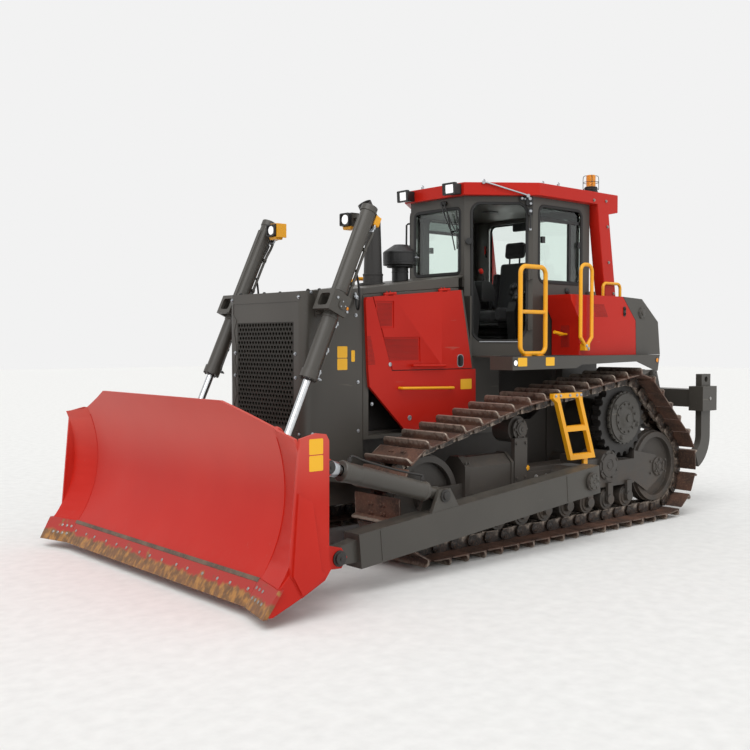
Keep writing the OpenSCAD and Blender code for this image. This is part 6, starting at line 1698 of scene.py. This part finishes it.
    def fittings(self) -> None:
        """Roof rod, eyebolts, the door's hinge brackets and leaves, round stops and the guard's bolts."""
        bright, black = Stock(), Stock()
        bright.tube([(-0.040, 0.548, 3.430), (-0.065, 0.572, 3.428), (-0.200, 0.690, 3.372), (-0.345, 0.800, 3.318),
                     (-0.372, 0.822, 3.304)], 0.0085, 10)
        for place in ((-0.040, 0.545, 3.432), (-0.372, 0.822, 3.302)):
            bright.turned([(0.017, -0.014), (0.017, 0.014)], aim(place, (0.62, 0.78, 0.0)), 14)
        for x, y in ((0.080, -0.180), (-0.095, 0.500), (-0.620, 0.800), (-0.804, 0.845)):
            bright.hoop(Matrix(((1, 0, 0, x), (0, 0, 1, y), (0, 1, 0, 3.455), (0, 0, 0, 1))), 0.016, 0.0045, 15)
            foot = Matrix.Translation((x, y, self.roof_z))
            bright.turned([(0.015, -0.001), (0.015, 0.006), (0.006, 0.010), (0.006, 0.022)], foot, 12)
        # hinge brackets under the roof's edge, left bare where the door is missing
        at = self.door_frame()
        for low, high, depth in (((0.600, 3.215), (0.668, 3.300), 0.040), ((0.535, 3.262), (0.600, 3.302), 0.030),
                                 ((0.618, 3.120), (0.664, 3.195), 0.046)):
            black.prism(rounded(low, high, 0.008), at, depth)
        for x, z, r, h in ((0.634, 3.280, 0.018, 0.056), (0.640, 3.232, 0.014, 0.062), (0.640, 3.160, 0.017, 0.060),
                           (0.560, 3.284, 0.014, 0.044), (0.590, 3.280, 0.010, 0.040)):
            bright.turned([(r, 0.0), (r, h - 0.006), (r * 0.8, h)], at @ Matrix.Translation((x, z, 0.0)), 14)
        black.tube([at @ Vector((0.640, z, 0.040 + 0.012 * math.sin(9 * z))) for z in (3.19, 3.12, 3.05, 2.99)], 0.008,
                   8)
        bright.turned([(0.013, -0.010), (0.013, 0.010)], aim(at @ Vector((0.640, 2.985, 0.042))), 12)
        knob = [(0.030, 0.0), (0.030, 0.012), (0.022, 0.022), (0.022, 0.034), (0.032, 0.042), (0.032, 0.052),
                (0.0, 0.054)]
        for s in (1, -1):
            black.turned(knob, aim((self.front - 0.030, s * 0.4035, 2.868), (0.62, 0.78 * s, 0)), 20)
            stop = along_y(-1.010, self.side_y, 2.405, s)
            black.turned([(0.034, -0.001), (0.034, 0.008), (0.026, 0.014), (0.0, 0.016)], stop, 20)
        bright.piece("roof_rod_and_eyebolts", "chassis", STEEL)
        black.piece("hinge_brackets", "chassis", PLASTIC, 1.5)
        self.guard_bolts()
        lower = Stock()
        for z in (2.010, 2.500):
            lower.prism(rounded((0.620, z), (0.672, z + 0.090), 0.008), at, 0.026)
            lower.turned([(0.013, 0.0), (0.013, 0.110)], at @ along_y(0.632, z - 0.010, 0.030), 12)
        lower.piece("hinge_leaves", "chassis", GREY, 1.0)

    def guard_bolts(self) -> None:
        """Bolts in the legs of the roll-over guard."""
        bolts = Stock()
        for s in (1, -1):
            for x, z in ((-1.546, 3.353), (-1.340, 3.345), (-1.575, 3.090), (-1.600, 2.720), (-1.500, 2.400),
                         (-1.690, 2.400)):
                bolts.turned([(0.017, -0.004), (0.017, 0.006), (0.011, 0.006), (0.011, 0.014)], along_y(x, 0.880, z, s),
                             6)
        bolts.piece("guard_bolts", "chassis", WORN)

    def seat(self) -> None:
        """Seat: bellows, shell, headrest posts and armrests' stays, and the pads on them."""
        folds = []
        for k in range(11):
            grow = 0.0 if k % 2 else 0.016
            ring = rounded((-1.075 + grow, -0.186 + grow), (-0.685 - grow, 0.186 - grow), 0.04)
            folds.append([Vector((x, y, 1.818 + k * 0.0225)) for x, y in ring])
        bellows = Stock().loft(folds)
        pan = eased(((-1.105, 2.040), (-1.105, 2.075), (-0.600, 2.085), (-0.590, 2.060), (-0.620, 2.036)), 0.02)
        shell = Stock().prism(pan, side_view(0, -0.235, 0), 0.470)
        back = eased(((-1.110, 2.150), (-1.090, 2.150), (-1.165, 2.700), (-1.180, 2.745), (-1.198, 2.740),
                      (-1.196, 2.690), (-1.150, 2.300)), 0.01)
        shell.prism(back, side_view(0, -0.215, 0), 0.430)
        for s in (1, -1):
            shell.tube([(-1.128, s * 0.070, 2.72), (-1.134, s * 0.070, 2.82)], 0.009, 12, soft=False)
            shell.tube([(-1.05, s * 0.245, 2.17), (-1.05, s * 0.275, 2.24), (-1.035, s * 0.292, 2.36)], 0.020, 12)
        bellows.piece("seat_bellows", "chassis", RUBBER)
        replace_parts(shell.piece("seat_shell", "chassis", PLASTIC, 2.0), "operator_seat")
        self.pads()

    def pads(self) -> None:
        """The seat's nine pads: those of the back lean to the rear, and those of the seat tip up in front."""
        tip = Matrix.Rotation(math.radians(-3.0), 4, "Y")
        lean = Matrix.Rotation(math.radians(-6.5 - 90), 4, "Y") @ Matrix.Rotation(math.pi, 4, "Z")

        def pad(name: str, half: Point, place: Point, turn: Matrix, shape: tuple, finish: Finish, fill: float) -> None:
            """Makes one pad at a place, from its corner radius, its crown and its channels."""
            Cushion(name, half, Matrix.Translation(place) @ turn, *shape).build(finish, fill)

        middle, edge = (0.045, 0.016, (-0.45, 0.20)), (0.034, 0.008)
        pad("seat_cushion", (0.270, 0.176, 0.060), (-0.850, 0.0, 2.140), tip, middle, FABRIC, 0.7)
        for s, side in SIDES:
            pad("seat_side_" + side, (0.262, 0.040, 0.066), (-0.862, s * 0.214, 2.166), tip, edge, FABRIC, 0.75)
            pad("back_side_" + side, (0.195, 0.040, 0.062), (-1.082, s * 0.204, 2.440), lean, edge, FABRIC, 0.75)
            place = (-0.870, s * 0.296, 2.395)
            pad("armrest_" + side, (0.168, 0.032, 0.026), place, Matrix(), (0.020, 0.004), VINYL, 0.8)
        middle = (0.044, 0.014, (-0.35, 0.30))
        pad("seat_back", (0.280, 0.172, 0.052), (-1.096, 0.0, 2.462), lean, middle, FABRIC, 0.7)
        pad("headrest", (0.088, 0.128, 0.046), (-1.142, 0.0, 2.876), lean, (0.042, 0.010), FABRIC, 0.8)

    def controls(self) -> None:
        """Joystick, travel levers, switches, vent, visor and hammer."""
        black, red, pale = Stock(), Stock(), Stock()
        pod = eased(((-0.430, 2.300), (-0.430, 2.420), (-0.380, 2.490), (-0.236, 2.505), (-0.236, 2.300)), 0.02)
        black.prism(pod, side_view(0, 0.235, 0), 0.110)
        lever = aim((-0.350, 0.290, 2.480), (0.55, 0.0, 1.0))
        black.turned([(0.034, -0.010), (0.030, 0.014), (0.022, 0.022), (0.024, 0.030), (0.014, 0.042), (0.014, 0.120)],
                     lever, 16)
        red.turned([(0.015, 0.112), (0.022, 0.122), (0.023, 0.150), (0.016, 0.162), (0.0, 0.164)], lever, 16)
        for s in (1, -1):
            stick = aim((-0.690, s * 0.400, 2.335), (0.15, 0.0, 1.0))
            black.turned([(0.040, 0.0), (0.036, 0.016), (0.026, 0.030), (0.028, 0.036), (0.018, 0.048), (0.015, 0.075),
                          (0.021, 0.100), (0.024, 0.140), (0.017, 0.158), (0.0, 0.160)], stick, 16)
        black.prism(rounded((-0.075, -0.060), (0.075, 0.060), 0.02), aim((-0.620, 0.100, 3.252), (0, 0, -1)), 0.020)
        black.prism(rounded((-0.150, -0.045), (0.150, 0.045), 0.02), along_x(-1.285, 0.000, 3.145), 0.018)
        red.tube([(-1.312, -0.600, 2.975), (-1.302, -0.590, 2.880)], 0.010, 10)
        black.tube([(-1.316, -0.600, 2.900), (-1.290, -0.560, 2.855)], 0.012, 10)
        for k in range(9):
            place = aim((-0.243, -0.28 + 0.07 * k, 2.360 + 0.05 * (k % 2)), (-1, 0, 0))
            pale.prism(rounded((-0.020, -0.010), (0.020, 0.010), 0.004), place, 0.004)
        black.piece("levers_vent_and_visor", "chassis", PLASTIC, 1.5)
        red.piece("red_knobs", "chassis", RED)
        pale.piece("switches", "chassis", STEEL)

    def door_rail(self) -> None:
        """Grab rail on the right door's outside."""
        at = self.door_frame()
        route = ((3.120, 0.0), (3.120, 0.045), (3.105, 0.062), (2.900, 0.064), (2.560, 0.064), (2.530, 0.045),
                 (2.530, 0.0))
        rail = Stock().tube([at @ Vector((0.110, z, out)) for z, out in route], 0.010, 12, soft=False)
        rail.mirrored(-1).piece("door_grab_rail", "cab_door", PLASTIC)

    def build(self) -> None:
        """Builds the cab's details."""
        self.lamps()
        self.beacon()
        self.seals()
        self.windows()
        self.fittings()
        self.seat()
        self.controls()
        self.door_rail()


# ---------- ripper ----------
@dataclass
class Ripper:
    """Ripper: pin caps, and the cylinders' sleeves, glands, oil lines and rod tails."""

    frame: dict
    ear: Vector = field(default_factory=lambda: Vector((-2.125, 0.180, 1.400)))
    arm_foot: Vector = field(default_factory=lambda: Vector((-2.125, 0.700)))
    beam_pins: tuple = ((-3.030, 1.010), (-3.030, 1.510))
    beam_y: float = 0.520
    shank_pin: tuple[float, float] = (-3.280, 1.240)
    lug_share: float = 0.66
    lug_rise: float = 0.136
    barrel_end: float = 0.436
    gland: float = 0.568

    def rod_eye(self) -> Vector:
        """Where the left rod's eye sits on the arms' lug."""
        arm = Vector(self.beam_pins[0]) - self.arm_foot
        up = Vector((arm.y, -arm.x)).normalized()
        at = self.arm_foot + arm * self.lug_share + up * self.lug_rise
        return Vector((at.x, self.ear.y, at.y))

    def build(self) -> None:
        """Builds the ripper's details."""
        self.caps(self.body("ripper_beam"))
        self.cylinders(self.body("ripper_barrels"), self.body("ripper_rods"))

    def body(self, node: str) -> str:
        """The body that a CAD node rides on."""
        return self.frame["nodes"][node]["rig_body"]

    def caps(self, beam: str) -> None:
        """Bolted caps on the beam's pins and round caps on the shanks' pins."""
        places = [along_y(x, self.beam_y, z, s) for s in (1, -1) for x, z in self.beam_pins]
        cap = Stock().turned([(0.044, -0.002), (0.044, 0.006), (0.038, 0.009), (0.0, 0.009)], Matrix(), 20)
        for x, y in circle(0.0, 0.0, 0.026, 3):
            cap.turned([(0.008, 0.008), (0.008, 0.015)], Matrix.Translation((x, y, 0.0)), 6)
        Repeat("ripper_pin_caps", cap, GREY, slot="grey_paint").build(beam, places)
        pins, (x, z) = Stock(), self.shank_pin
        for y in (-1.0, 0.0, 1.0):
            for e in (1, -1):
                pins.turned([(0.020, -0.004), (0.020, 0.007), (0.012, 0.010), (0.0, 0.010)],
                            aim((x, y + e * 0.090, z), (0, e, 0)), 16)
        pins.piece("shank_pin_caps", beam, WORN)

    def cylinders(self, barrel: str, rod: str) -> None:
        """Sleeves with their glands, oil lines and clamps, and the tails that lengthen the rods."""
        lines, ends, gland = Stock(), Stock(), self.gland
        base = aim(self.ear, self.rod_eye() - self.ear, (0, 0, 1))
        # the sleeve carries the barrel on to the rod's eye, so that the lowered ripper's rod stays in it
        low = self.barrel_end
        ends.ring([(0.034, low), (0.0625, low), (0.0625, gland - 0.002), (0.034, gland - 0.002)], base)
        ends.ring([(0.0615, gland - 0.075), (0.070, gland - 0.070), (0.070, gland - 0.010), (0.0625, gland + 0.004),
                   (0.040, gland + 0.006), (0.040, gland - 0.004), (0.0615, gland - 0.006)], base)
        route = ((0.060, 0.130), (0.084, 0.135), (0.086, 0.17), (0.080, gland - 0.12), (0.078, gland - 0.06))
        lines.tube([base @ Vector((x, 0.0, z)) for x, z in route], 0.010)
        for z in (0.130, gland - 0.050):
            ends.turned([(0.020, 0.0), (0.020, 0.040), (0.014, 0.044)], base @ along_x(0.050, 0.0, z), 6)
        for z in (0.200, 0.330):
            ends.prism(rounded((-0.018, -0.016), (0.018, 0.016), 0.004), base @ along_x(0.055, 0.0, z), 0.038)
        tail = Stock().turned([(0.026, 0.060), (0.0315, 0.064), (0.0315, 0.215)], base, 32)
        tail.doubled().piece("ripper_rod_tails", rod, CHROME)
        lines.doubled().piece("ripper_oil_lines", barrel, GREY)
        ends.doubled().piece("ripper_glands_and_clamps", barrel, GREY, 0.8)


# ---------- studio ----------
@dataclass
class Studio:
    """Pale floor and backdrop, soft suns and the camera."""

    eye: tuple = (7.045, 7.062, 1.890)
    yaw: float = 228.87
    pitch: float = -1.93
    focal_share: float = 984.19 / 750
    sensor: float = 36.0
    fill: float = 0.60
    backdrop: str = "#f2f2f2"
    floor_half: float = 60.0
    suns: tuple = (("key_light", (0.62, 0.35, 1.0), 50, 1.64), ("side_light", (-0.2, 1.0, 0.75), 70, 0.45))

    def camera(self) -> None:
        """Sets the camera up at standing height off the front left corner."""
        data = bpy.data.cameras.new("camera")
        data.sensor_width = self.sensor
        data.lens = self.focal_share * self.sensor
        data.clip_end = 200.0
        camera = bpy.data.objects.new("camera", data)
        bpy.context.scene.collection.objects.link(camera)
        camera.location = self.eye
        camera.rotation_euler = (math.radians(90 + self.pitch), 0.0, math.radians(self.yaw - 90))
        bpy.context.scene.camera = camera

    def floor(self) -> None:
        """Lays the pale floor."""
        bm = bmesh.new()
        bmesh.ops.create_grid(bm, x_segments=1, y_segments=1, size=self.floor_half)
        floor = mesh_object("studio_floor", bm)
        finish = Finish("white_studio_floor", "#f2f2f0", 1.0)
        floor.data.materials.append(finish.build())

    def light(self) -> None:
        """Fills the world with soft light and hangs two broad suns."""
        world = bpy.data.worlds.new("studio")
        bpy.context.scene.world = world
        world.use_nodes = True
        net = Net(world.node_tree)
        net.tree.nodes.clear()
        path = net.add("ShaderNodeLightPath").outputs
        seen = net.add("ShaderNodeMath", {0: path["Is Camera Ray"], 1: path["Is Transmission Ray"]},
                       operation="MAXIMUM").outputs[0]
        seen = net.add("ShaderNodeMath", {0: seen, 1: path["Is Glossy Ray"]}, operation="MAXIMUM").outputs[0]
        soft = net.add("ShaderNodeBackground", {"Color": (1, 1, 1, 1), "Strength": self.fill})
        back = net.add("ShaderNodeBackground", {"Color": srgb(self.backdrop), "Strength": 1.0})
        mix = net.add("ShaderNodeMixShader", {0: seen, 1: soft.outputs[0], 2: back.outputs[0]})
        net.add("ShaderNodeOutputWorld", {0: mix.outputs[0]})
        # a broad sun lights every part of the floor alike
        for name, place, angle, power in self.suns:
            data = bpy.data.lights.new(name, "SUN")
            data.angle = math.radians(angle)
            data.energy = power
            lamp = bpy.data.objects.new(name, data)
            bpy.context.scene.collection.objects.link(lamp)
            lamp.rotation_euler = (-Vector(place)).to_track_quat("-Z", "Y").to_euler()

    def build(self) -> None:
        """Builds the whole studio."""
        self.camera()
        self.floor()
        self.light()
        bpy.context.scene.view_settings.view_transform = "Standard"


def main() -> None:
    """Builds the tractor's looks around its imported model."""
    logging.basicConfig(level=logging.INFO, format="%(message)s")
    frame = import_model()
    Studio().build()
    for dress in Dress:
        Shell(*dress.value).build(frame)
    for part in (Undercarriage(), BladeWork(), EngineHouse(), LiftGear(), Deck(), Cabin(), Ripper(frame)):
        part.build()
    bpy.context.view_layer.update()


if __name__ == "__main__":
    main()
